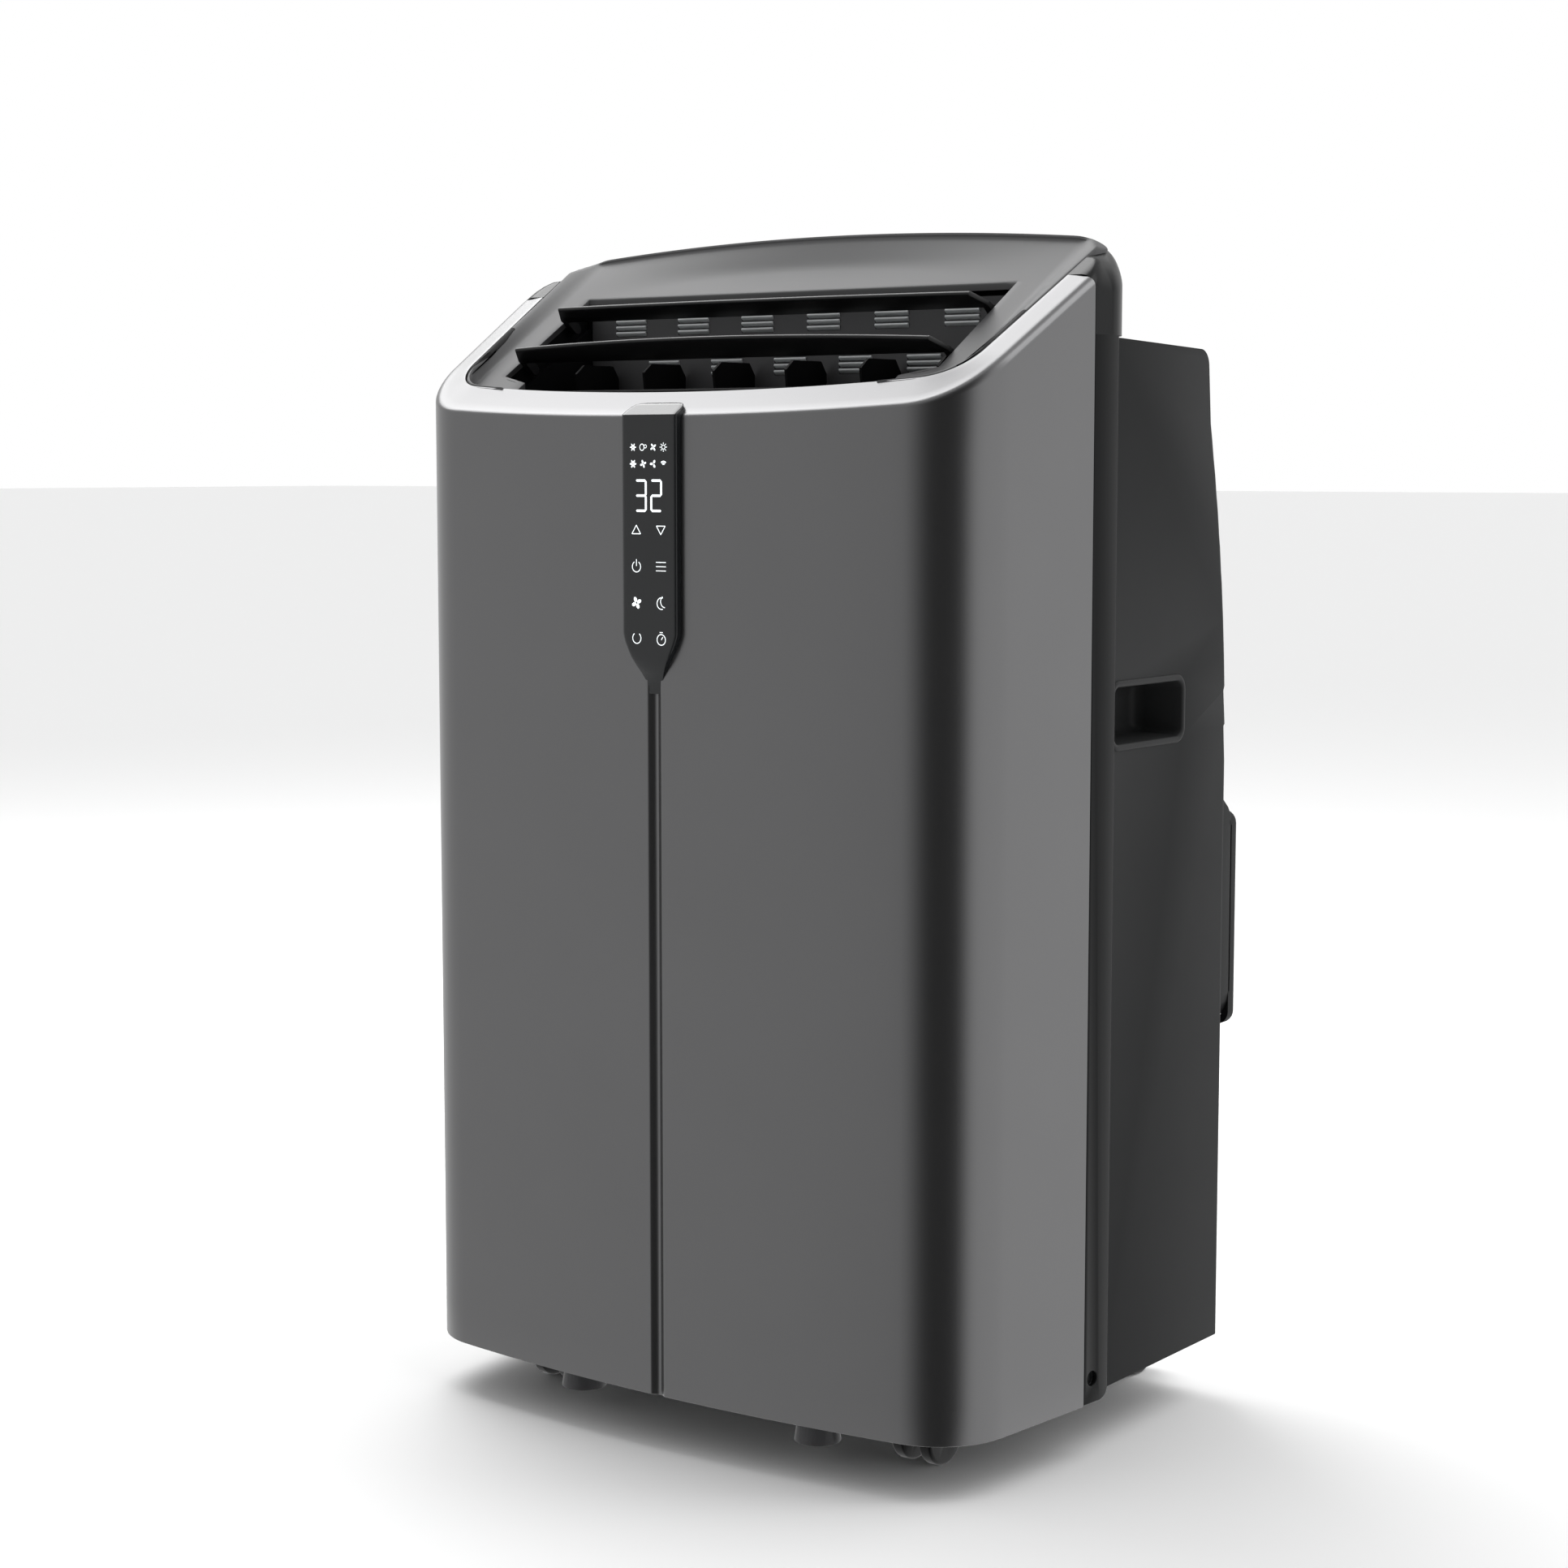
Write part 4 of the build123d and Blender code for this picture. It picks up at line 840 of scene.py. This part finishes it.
def make_strip():
    """Touch strip: flat face with a round lower end, funnel below, hook over the lip."""
    heights = [484, 488, 492, 497, 502, 507, 512, 516, 519, 521.5, 524, 528, 540, 580, 620,
               645, 655.8, 656.5, 657, 657.8, 658.8, 659.8, 660.7, 661.5, 662.2, 662.8, 663.3,
               663.7, 664]
    columns = [0, 0.2, 0.4, 0.55, 0.68, 0.78, 0.86, 0.92, 0.96, 0.985, 1.0]
    face, back = [], []
    for z in heights:
        half = []
        width = strip_half_width(z)
        for share in columns:
            x = width * share
            round_end = math.hypot(x, min(z - (STRIP_TAPER_Z + 1.0), 0.0)) / (STRIP_X - 2.0)
            fall = 0.0
            if z < STRIP_TAPER_Z + 1:
                fall = 5.6 * eased((round_end - 0.96) / 0.75)
            edge = 1.6 * (1 - math.sqrt(max(0.0, 1 - max(0.0, (share - 0.9) / 0.1) ** 2)))
            y = strip_front(z) + max(fall, edge if z > STRIP_TAPER_Z - 12 else edge * 0.4)
            half.append(at(x, min(y, 3.0) if z < STRIP_CREASE_Z else y, z))
        face.append(both_sides(half))
        depth = 3.6 if z < STRIP_CREASE_Z else max(3.6, strip_front(z) + 0.6)
        back.append(both_sides([at(width * share, depth, z) for share in columns]))
    work = bmesh.new()
    face, back = [dots(work, row) for row in face], [dots(work, row) for row in back]
    last = len(face[0]) - 1
    for i in range(len(heights) - 1):
        k = i + 1
        for j in range(last):
            work.faces.new((face[i][j], face[i][j + 1], face[k][j + 1], face[k][j]))
            work.faces.new((back[i][j + 1], back[i][j], back[k][j], back[k][j + 1]))
        for j in (0, last):
            work.faces.new((face[i][j], face[k][j], back[k][j], back[i][j]))
    for i in (0, len(heights) - 1):
        join(work, face[i], back[i])
    mesh = finish_mesh("touch_strip", work)
    smooth(mesh, 40.0)
    piece("touch_strip", mesh, "strip_gloss", "cabinet", ("display_strip",))


# ---- icons ----
class Ink:
    """Collects flat raised shapes that sit on the strip's face."""

    thick = 0.12

    def __init__(self):
        self.work = bmesh.new()

    def shape(self, points):
        """Raised closed outline of (x, z) points."""
        front = dots(self.work, [at(x, FRONT_Y - 0.02, z) for x, z in points])
        back = dots(self.work, [at(x, FRONT_Y + self.thick, z) for x, z in points])
        tube(self.work, front, back)

    def bar(self, start, end, width):
        """Straight line."""
        (x0, z0), (x1, z1) = start, end
        length = math.hypot(x1 - x0, z1 - z0)
        nx, nz = (z0 - z1) / length * width / 2, (x1 - x0) / length * width / 2
        self.shape([(x0 - nx, z0 - nz), (x1 - nx, z1 - nz),
                    (x1 + nx, z1 + nz), (x0 + nx, z0 + nz)])

    def arc(self, centre, radius, width, start=0.0, end=360.0, stretch=1.0):
        """Part of a ring, angles in degrees from the right, counterclockwise."""
        steps = max(6, int((end - start) / 15))
        for i in range(steps):
            ring = []
            for angle, r in ((i, radius - width / 2), (i, radius + width / 2),
                             (i + 1, radius + width / 2), (i + 1, radius - width / 2)):
                a = math.radians(start + (end - start) * angle / steps)
                ring.append((centre[0] + r * math.cos(a), centre[1] + r * stretch * math.sin(a)))
            self.shape(ring)

    def loop(self, points, width):
        """Closed line through the points."""
        for i, point in enumerate(points):
            self.bar(point, points[(i + 1) % len(points)], width)

    def petals(self, centre, count, reach, fat, twist=0.0):
        """Fan blades as small leaf shapes round a centre."""
        for i in range(count):
            a = math.radians(twist + 360 * i / count)
            leaf = []
            for t in range(8):
                b = 2 * math.pi * t / 8
                along, across = reach * (0.55 + 0.45 * math.cos(b)), fat * math.sin(b)
                leaf.append((centre[0] + along * math.cos(a) - across * math.sin(a),
                             centre[1] + along * math.sin(a) + across * math.cos(a)))
            self.shape(leaf)

    def digit(self, centre, segments, half_w=3.9, half_h=9.3, width=1.5):
        """Seven-segment digit; segments are letters a to g."""
        x, z = centre
        slant = 0.4
        spots = {"a": ((-half_w, half_h), (half_w, half_h)), "g": ((-half_w, 0), (half_w, 0)),
                 "d": ((-half_w, -half_h), (half_w, -half_h)),
                 "b": ((half_w, half_h), (half_w, 0)), "c": ((half_w, 0), (half_w, -half_h)),
                 "e": ((-half_w, 0), (-half_w, -half_h)), "f": ((-half_w, half_h), (-half_w, 0))}
        for key in segments:
            (x0, z0), (x1, z1) = spots[key]
            dx, dz = (x1 - x0), (z1 - z0)
            length = math.hypot(dx, dz)
            ux, uz = dx / length, dz / length
            gap = 0.25 - width / 2 * slant
            tip = width / 2
            pts = []
            far = length - gap
            for along, across in ((gap, 0), (gap + tip, tip), (far - tip, tip),
                                  (far, 0), (far - tip, -tip), (gap + tip, -tip)):
                pts.append((x + x0 + ux * along - uz * across, z + z0 + uz * along + ux * across))
            self.shape(pts)


def make_icons():
    """Generic mode icons, two digits and key symbols on the strip."""
    ink = Ink()
    line = 0.55
    for column, x in enumerate((-12.0, -4.0, 4.0, 12.0)):
        top, low = (x, 636.5), (x, 626.3)
        if column == 0:
            ink.petals(top, 6, 2.6, 0.4)
            ink.arc(top, 1.2, 0.45)
            ink.petals(low, 6, 2.7, 0.6)
        elif column == 1:
            ink.arc((x - 0.9, top[1]), 1.7, 0.45, stretch=1.15)
            ink.arc((x + 1.7, top[1] + 0.5), 1.0, 0.4)
            ink.petals(low, 4, 2.6, 0.7, 20)
        elif column == 2:
            ink.petals(top, 4, 2.6, 0.65, 35)
            ink.petals(low, 3, 2.7, 0.8, 60)
        else:
            ink.arc(top, 1.3, 0.45)
            for i in range(8):
                a = math.radians(45 * i)
                ink.bar((x + 1.9 * math.cos(a), top[1] + 1.9 * math.sin(a)),
                        (x + 2.8 * math.cos(a), top[1] + 2.8 * math.sin(a)), 0.5)
            for radius in (1.0, 1.9, 2.8):
                ink.arc((x, low[1] - 1.2), radius, 0.6, 45, 135)
    ink.digit((-5.9, 606.8), "abcdg")
    ink.digit((6.2, 606.8), "abged")
    left, right = -9.7, 9.7
    ink.loop([(left - 3.4, 583.3), (left + 3.4, 583.3), (left, 588.6)], line)
    ink.loop([(right - 3.4, 588.2), (right, 582.9), (right + 3.4, 588.2)], line)
    ink.arc((left, 563.0), 3.3, line, 120, 420)
    ink.bar((left, 563.4), (left, 567.6), line)
    for offset in (-2.6, 0.0, 2.6):
        ink.bar((right - 3.9, 563.3 + offset), (right + 3.9, 563.3 + offset), line * 0.9)
    ink.petals((left, 540.6), 4, 4.0, 1.25, 25)
    ink.arc((right + 0.4, 540.6), 3.6, line, 75, 285)
    ink.arc((right + 3.3, 541.8), 3.7, line, 125, 265)
    ink.arc((left, 518.7), 3.3, line, 125, 415)
    ink.arc((right, 518.2), 3.3, line)
    ink.bar((right - 1.2, 522.7), (right + 1.2, 522.7), line)
    ink.bar((right, 518.2), (right + 1.3, 519.9), line)
    mesh = finish_mesh("strip_icons", ink.work, 0.000002)
    piece("strip_icons", mesh, "icon_light", "cabinet")


# ---- louvers ----
TILT = math.radians(-28.5)
LOUVERS = {"louver_front": (59.1, 701.7, 8.0), "louver_rear": (102.7, 730.1, 1.5)}
BLADE_X = 171.2
TIP_X = 168.2
CHORD = 17.0
PIVOT_BACK = 26.0


def make_louver(name):
    """Blade with a crowned section and a rounded leading edge, on end arms with pins."""
    front_y, front_z, bow = LOUVERS[name]

    def turned(x, along, up):
        y = front_y + along * math.cos(TILT) - up * math.sin(TILT)
        z = front_z + along * math.sin(TILT) + up * math.cos(TILT)
        return at(x, y, z)

    sections = []
    count = 48
    for i in range(count + 1):
        x = -BLADE_X + 2 * BLADE_X * i / count
        lead = -bow * (1 - (x / TIP_X) ** 2) if abs(x) < TIP_X else 0.0
        lead += 13.0 * max(0.0, abs(x) - TIP_X) / (BLADE_X - TIP_X)
        ring = []
        for along, up in ((0.0, -0.2), (0.25, 0.8), (1.0, 1.5), (3.0, 1.6), (8.0, 1.6),
                          (15.8, 1.3), (CHORD, 0.6), (CHORD, -0.6), (15.8, -1.3), (8.0, -1.6),
                          (3.0, -1.6), (1.0, -1.5), (0.25, -1.0)):
            share = along / CHORD
            ring.append(turned(x, lead * (1 - share) + along, up))
        sections.append(ring)
    work = bmesh.new()
    grid = [dots(work, ring) for ring in sections]
    for a, b in zip(grid, grid[1:]):
        join(work, a, b, closed=True)
    work.faces.new(grid[0])
    work.faces.new(list(reversed(grid[-1])))
    for side in (1, -1):
        ring = [(CHORD - 2, -1.5), (PIVOT_BACK, -3.6), (PIVOT_BACK + 3.4, -2.2),
                (PIVOT_BACK + 4.0, 0.0), (PIVOT_BACK + 3.4, 2.2), (PIVOT_BACK, 3.6),
                (CHORD - 2, 1.5)]
        ends = []
        for x in (BLADE_X - 4.5, BLADE_X - 0.2):
            ends.append(dots(work, [turned(side * x, a, u) for a, u in ring]))
        tube(work, *ends)
        pin = []
        for x in (BLADE_X - 1, 190.4):
            pin.append(dots(work, [turned(side * x, PIVOT_BACK + 2 * math.cos(t * math.pi / 8),
                                          2 * math.sin(t * math.pi / 8)) for t in range(16)]))
        tube(work, *pin)
    mesh = finish_mesh(name + "_blade", work, 0.000001)
    smooth(mesh, 45.0)
    piece(name + "_blade", mesh, "louver_black", name, (name,))


# ---- geometry nodes: one shape set on every point ----
def grow_tree(name, labels):
    """Empty tree with the given float inputs; gives its Build and its inputs by name."""
    tree = bpy.data.node_groups.new(name, "GeometryNodeTree")
    face = tree.interface
    face.new_socket("Points", in_out="INPUT", socket_type="NodeSocketGeometry")
    for label in labels:
        face.new_socket(label, in_out="INPUT", socket_type="NodeSocketFloat")
    face.new_socket("Finish", in_out="INPUT", socket_type="NodeSocketMaterial")
    face.new_socket("Shapes", in_out="OUTPUT", socket_type="NodeSocketGeometry")
    build = Build(tree)
    outputs = tree.nodes.new("NodeGroupInput").outputs
    return build, {output.name: Socket(build, output) for output in outputs}


def on_points(build, source, shape, **turn):
    """End a tree: the shape on every point, made real and given its finish."""
    spread = build.add("GeometryNodeInstanceOnPoints", Points=source["Points"],
                       Instance=shape, **turn)
    real = build.add("GeometryNodeRealizeInstances", Geometry=spread)
    paint = build.add("GeometryNodeSetMaterial", Geometry=real, Material=source["Finish"])
    build.feed(build.tree.nodes.new("NodeGroupOutput").inputs[0], paint)
    return build.tree


def slat_tree():
    """Rounded bars set on the base mesh's points."""
    build, source = grow_tree("slats_on_points", ("Length", "Width", "Thick", "Tilt"))
    ends = [build.add("ShaderNodeCombineXYZ", X=source["Length"] * share)
            for share in (-0.5, 0.5)]
    line = build.add("GeometryNodeCurvePrimitiveLine", Start=ends[0], End=ends[1])
    section = build.add("GeometryNodeCurvePrimitiveQuadrilateral", Width=source["Width"],
                        Height=source["Thick"])
    corner = build.add("GeometryNodeFilletCurve", {"mode": "POLY"}, Curve=section,
                       Radius=source["Thick"] * 0.42, Count=3)
    bar = build.add("GeometryNodeCurveToMesh", Curve=line, Profile_Curve=corner, Fill_Caps=True)
    turn = build.add("ShaderNodeCombineXYZ", X=source["Tilt"])
    return on_points(build, source, bar, Rotation=turn)


def screw_tree():
    """Cross-head screws facing the back, one on each point of the base mesh."""
    build, source = grow_tree("cross_head_screws", ("Radius", "Height", "Slot Width"))
    radius, height = source["Radius"], source["Height"]
    dome = build.add("GeometryNodeMeshUVSphere", Segments=28, Rings=12, Radius=radius)
    flat = build.add("ShaderNodeCombineXYZ", X=1.0, Y=height.maths("DIVIDE", height, radius),
                     Z=1.0)
    shape = build.add("GeometryNodeTransform", Geometry=dome, Scale=flat)
    cut = build.tree.nodes.new("GeometryNodeMeshBoolean")
    cut.operation = "DIFFERENCE"
    build.feed(cut.inputs["Mesh 1"], shape)
    lift = build.add("ShaderNodeCombineXYZ", Y=height)
    for long_axis, thin_axis in (("X", "Z"), ("Z", "X")):
        size = build.add("ShaderNodeCombineXYZ", Y=height, **{
            long_axis: radius * 1.15, thin_axis: source["Slot Width"]})
        bar = build.add("GeometryNodeMeshCube", Size=size)
        place = build.add("GeometryNodeTransform", Geometry=bar, Translation=lift)
        build.feed(cut.inputs["Mesh 2"], place)
    return on_points(build, source, Socket(build, cut.outputs[0]))


def grown(tree, name, points, finish, body, slot, replaces=(), **inputs):
    """Run a tree on a set of points and keep the result as a plain mesh."""
    base = bpy.data.meshes.new(name)
    base.from_pydata(points, [], [])
    obj = placed(name + "_points", base)
    modifier = obj.modifiers.new("grow", "NODES")
    modifier.node_group = tree
    for item in tree.interface.items_tree:
        if item.in_out == "INPUT" and item.name in inputs:
            modifier[item.identifier] = inputs[item.name]
        if item.in_out == "INPUT" and item.name == "Finish":
            modifier[item.identifier] = FINISH[finish]
    graph = bpy.context.evaluated_depsgraph_get()
    mesh = bpy.data.meshes.new_from_object(obj.evaluated_get(graph))
    mesh.name = name
    bpy.data.objects.remove(obj)
    if not mesh.materials or mesh.materials[0] is None:
        mesh.materials.clear()
        mesh.materials.append(FINISH[finish])
    smooth(mesh, 50.0)
    return piece(name, mesh, finish, body, replaces)


def make_screws():
    """Screws that hold the rear housing, at the CAD heads' places."""
    places = [(-212, 250), (-212, 445), (212, 250), (212, 445), (-60, 446), (60, 446)]
    grown(screw_tree(), "rear_screws", [at(x, 322.2, z) for x, z in places], "screw_steel",
          "cabinet", "screw_steel", ("housing_screws",),
          **{"Radius": 4.2 * MM, "Height": 2.4 * MM, "Slot Width": 0.9 * MM})


def make_guard(slats):
    """Pale slats in the windows of the guard behind the vanes."""
    windows = {"upper": (712.0, 727.5, (-133.5, -80.0, -26.7, 26.7, 80.0, 133.5)),
               "lower": (684.0, 700.0, (-105.0, -52.0, 0.0, 52.0, 105.0))}
    rows = 4
    points = []
    for low, high, middles in windows.values():
        pitch = (high - low) / rows
        for middle in middles:
            for row in range(rows):
                points.append(at(middle, 143.6, low + (row + 0.45) * pitch))
    grown(slats, "guard_slats", points, "guard_slat", "cabinet", "duct_black",
          Length=25.4 * MM, Width=3.7 * MM, Thick=1.7 * MM, Tilt=math.radians(-38))


# ---- carried-over nodes ----
def paint_nodes():
    """Give every CAD node the finish of its material slot."""
    for part in frame["record"]["subparts"]:
        node = frame["nodes"][part["node"]]
        node.data.materials.clear()
        node.data.materials.append(FINISH[part["material_slot"]])


def make_lip_shadow_strip():
    """Dark wedge laid on the hood beside the lip at the front of each side, painted shade for the
    shadowed gap between the lip and the hood.
    """
    for side, label in SIDES:
        rows = []
        for i in range(25):
            y = 44.0 + 58.0 * i / 24
            out = hood_edge_x(y)
            width = 0.6 + 4.6 * eased(i / 15) * (1 - 0.35 * eased((i - 18) / 6))
            row = []
            for share, up in ((0.0, -1.0), (0.0, 0.25), (0.5, 0.45), (1.0, 0.25), (1.0, -1.0)):
                x = out - 0.3 - width * (1 - share)
                row.append(at(side * x, y, hood_z(out - 0.3 - width * (1 - share), y) + up))
            rows.append(row + [row[0]])
        mesh = from_rows(f"lip_shadow_strip_{label}", rows, caps=True)
        smooth(mesh, 40.0)
        # painted shade: a black strip on the hood's surface where the gap between lip and hood
        # lies in shadow
        piece(f"lip_shadow_strip_{label}", mesh, "duct_black", "cabinet")


def rounded(y_span, z_span, radius, steps=6):
    """Closed rounded rectangle of (y, z) points."""
    points = []
    corners = ((y_span[1], z_span[0], -90), (y_span[1], z_span[1], 0),
               (y_span[0], z_span[1], 90), (y_span[0], z_span[0], 180))
    for y, z, start in corners:
        cy = y - radius if y == y_span[1] else y + radius
        cz = z - radius if z == z_span[1] else z + radius
        for i in range(steps + 1):
            a = math.radians(start + 90 * i / steps)
            points.append((cy + radius * math.cos(a), cz + radius * math.sin(a)))
    return points


def make_handles():
    """Raised rounded rim and hollow cup of each carrying grip."""
    for side, label in SIDES:
        rings = []
        for grow, proud in ((4.2, -0.6), (4.2, 0.1), (3.7, 0.7), (2.6, 1.0), (1.2, 0.9),
                            (0.3, 0.4), (-0.2, -0.6), (-0.6, -4.0)):
            ring = rounded((171.5 - grow, 258.0 + grow), (451.5 - grow, 487.5 + grow), 6.0 + grow)
            rings.append([at(side * (GRIP_WALL + proud), y, z) for y, z in ring])
        low, high = (172.6, 256.9), (452.6, 486.4)
        for depth, inset in ((12, 0.2), (24, 0.6), (29, 1.6), (31.5, 4.0), (32.3, 8.0)):
            shift = -depth * 0.14
            ring = rounded((low[0] + inset, low[1] - inset + shift),
                           (high[0] + inset, high[1] - inset), max(5.0 - inset * 0.3, 1.0))
            rings.append([at(side * (GRIP_WALL - depth), y, z) for y, z in ring])
        mesh = from_rows(f"grip_{label}", [ring + [ring[0]] for ring in rings])
        work = opened(mesh)
        bmesh.ops.holes_fill(work, edges=[e for e in work.edges if e.is_boundary
                                          and abs(e.verts[0].co.x) < (GRIP_WALL - 30) * MM])
        mesh = finish_mesh(f"grip_{label}", work)
        smooth(mesh, 45.0)
        piece(f"grip_{label}", mesh, "grip_black", "cabinet",
              (f"handle_{label}",))


def make_exhaust_surround():
    """Raised surround of the exhaust and the closed slide rail that stands on it."""
    surround = ring_mesh("exhaust_surround", SURROUND_Z, 320.5, 352.5, 9.0, 24.0)
    piece("exhaust_surround", surround, "housing_black", "cabinet")
    rail = ring_mesh("exhaust_slide_rail", RAIL_Z, 347.0, 357.8, 5.0, 9.0)
    piece("exhaust_slide_rail", rail, "housing_black", "cabinet",
          ("exhaust_rail",))


def ring_mesh(name, z_span, front, back, thick, corner):
    """Rounded rectangular ring on the back, with a rounded rear rim."""
    left, right = SURROUND_X
    rim = (0.0, 0.08, 0.3, 0.6, 0.85, 0.97, 1.0)
    profile = [(0.0, front), (0.0, back - 4.0)]
    profile += [(thick * t, back - 4.0 + 4.0 * math.sin(math.pi * t) ** 0.6) for t in rim[1:-1]]
    profile += [(thick, back - 4.0), (thick, front)]
    rings = []
    for inset, y in profile:
        ring = rounded((left + inset, right - inset), (z_span[0] + inset, z_span[1] - inset),
                       max(corner - inset, 3.0))
        rings.append([at(x, y, z) for x, z in ring])
    mesh = from_rows(name, [ring + [ring[0]] for ring in rings], closed=True)
    smooth(mesh, 45.0)
    return mesh


def make_stage():
    """Pale floor."""
    size = 60.0
    mesh = bpy.data.meshes.new("floor")
    mesh.from_pydata([(-size, -size, 0), (size, -size, 0), (size, size, 0), (-size, size, 0)],
                     [], [(0, 1, 2, 3)])
    floor = placed("floor", mesh)
    pale = bpy.data.materials.new("pale_floor")
    pale.use_nodes = True
    shader = pale.node_tree.nodes["Principled BSDF"]
    shader.inputs["Base Color"].default_value = (0.93, 0.93, 0.93, 1.0)
    shader.inputs["Roughness"].default_value = 0.8
    shader.inputs["Specular IOR Level"].default_value = 0.1
    mesh.materials.append(pale)
    floor.visible_glossy = False


def soft_box(name, place, target, size, power):
    """Rectangular area light aimed at a target."""
    data = bpy.data.lights.new(name, "AREA")
    data.shape = "RECTANGLE"
    data.size, data.size_y = size
    data.energy = power
    lamp = placed(name, data)
    lamp.location = place
    lamp.rotation_mode = "QUATERNION"
    lamp.rotation_quaternion = (Vector(target) - Vector(place)).to_track_quat("-Z", "Y")


def make_light():
    """Pale surround with one darker side, and two soft boxes overhead."""
    world = bpy.data.worlds.new("studio")
    scene.world = world
    world.use_nodes = True
    tree = world.node_tree
    tree.nodes.clear()
    build = Build(tree)
    way = build.add("ShaderNodeTexCoord", out="Generated")
    node = tree.nodes.new("ShaderNodeSeparateXYZ")
    build.feed(node.inputs[0], way)
    x, y = Socket(build, node.outputs[0]), Socket(build, node.outputs[1])
    bearing = x.maths("ARCTAN2", x, 0.0 - y) * (180 / math.pi)
    fall, rise = (build.add("ShaderNodeMapRange", {"interpolation_type": "SMOOTHSTEP"},
                            Value=bearing, From_Min=low, From_Max=high, To_Min=0.0, To_Max=1.0)
                  for low, high in DARK_BEARINGS)
    shadow = fall * (1 - rise)
    strength = 0.97 - 0.90 * shadow + 0.42 * rise
    seen = build.add("ShaderNodeLightPath", out="Is Camera Ray")
    background = tree.nodes.new("ShaderNodeBackground")
    build.feed(background.inputs["Strength"], strength * (1 - seen) + seen)
    background.inputs["Color"].default_value = (1.0, 1.0, 1.0, 1.0)
    output = tree.nodes.new("ShaderNodeOutputWorld")
    tree.links.new(background.outputs[0], output.inputs[0])
    soft_box("overhead_left", (-1.55, 0.7, 2.75), (0, 0, 0.7), (2.2, 2.0), 62.0)
    soft_box("overhead_right", (1.35, 0.75, 2.5), (0, 0, 0.7), (0.7, 1.6), 10.0)


paint_nodes()
make_front_panel()
make_hood()
make_cheeks()
make_mid_frame()
make_strip()
make_icons()
for louver in LOUVERS:
    make_louver(louver)
slats = slat_tree()
make_guard(slats)
make_screws()
make_lip_shadow_strip()
make_handles()
make_exhaust_surround()
soft_copy("rear_housing", "housing_black", "cabinet", 1.0)
for node, finish, width in (("exhaust_collar", "housing_black", 0.8),
                            ("cord_hooks", "housing_black", 0.8),
                            ("base_pan", "housing_black", 0.6),
                            ("condenser_scroll", "duct_black", 0.8),
                            ("upper_drain_plug", "seal_rubber", 0.6),
                            ("lower_drain_plug", "seal_rubber", 0.6),
                            ("cord_gland", "seal_rubber", 0.6)):
    body = node if node.endswith("plug") else "cabinet"
    soft_copy(node, finish, body, width)
for place in ("front_left", "front_right", "rear_left", "rear_right"):
    soft_copy(f"castor_fork_{place}", "castor_black", f"castor_{place}", 0.7)
    soft_copy(f"castor_wheels_{place}", "castor_black", f"wheels_{place}", 1.2)
for label in ("left", "right"):
    soft_copy(f"foot_{label}", "foot_plastic", "cabinet", 0.6)
make_stage()
make_light()
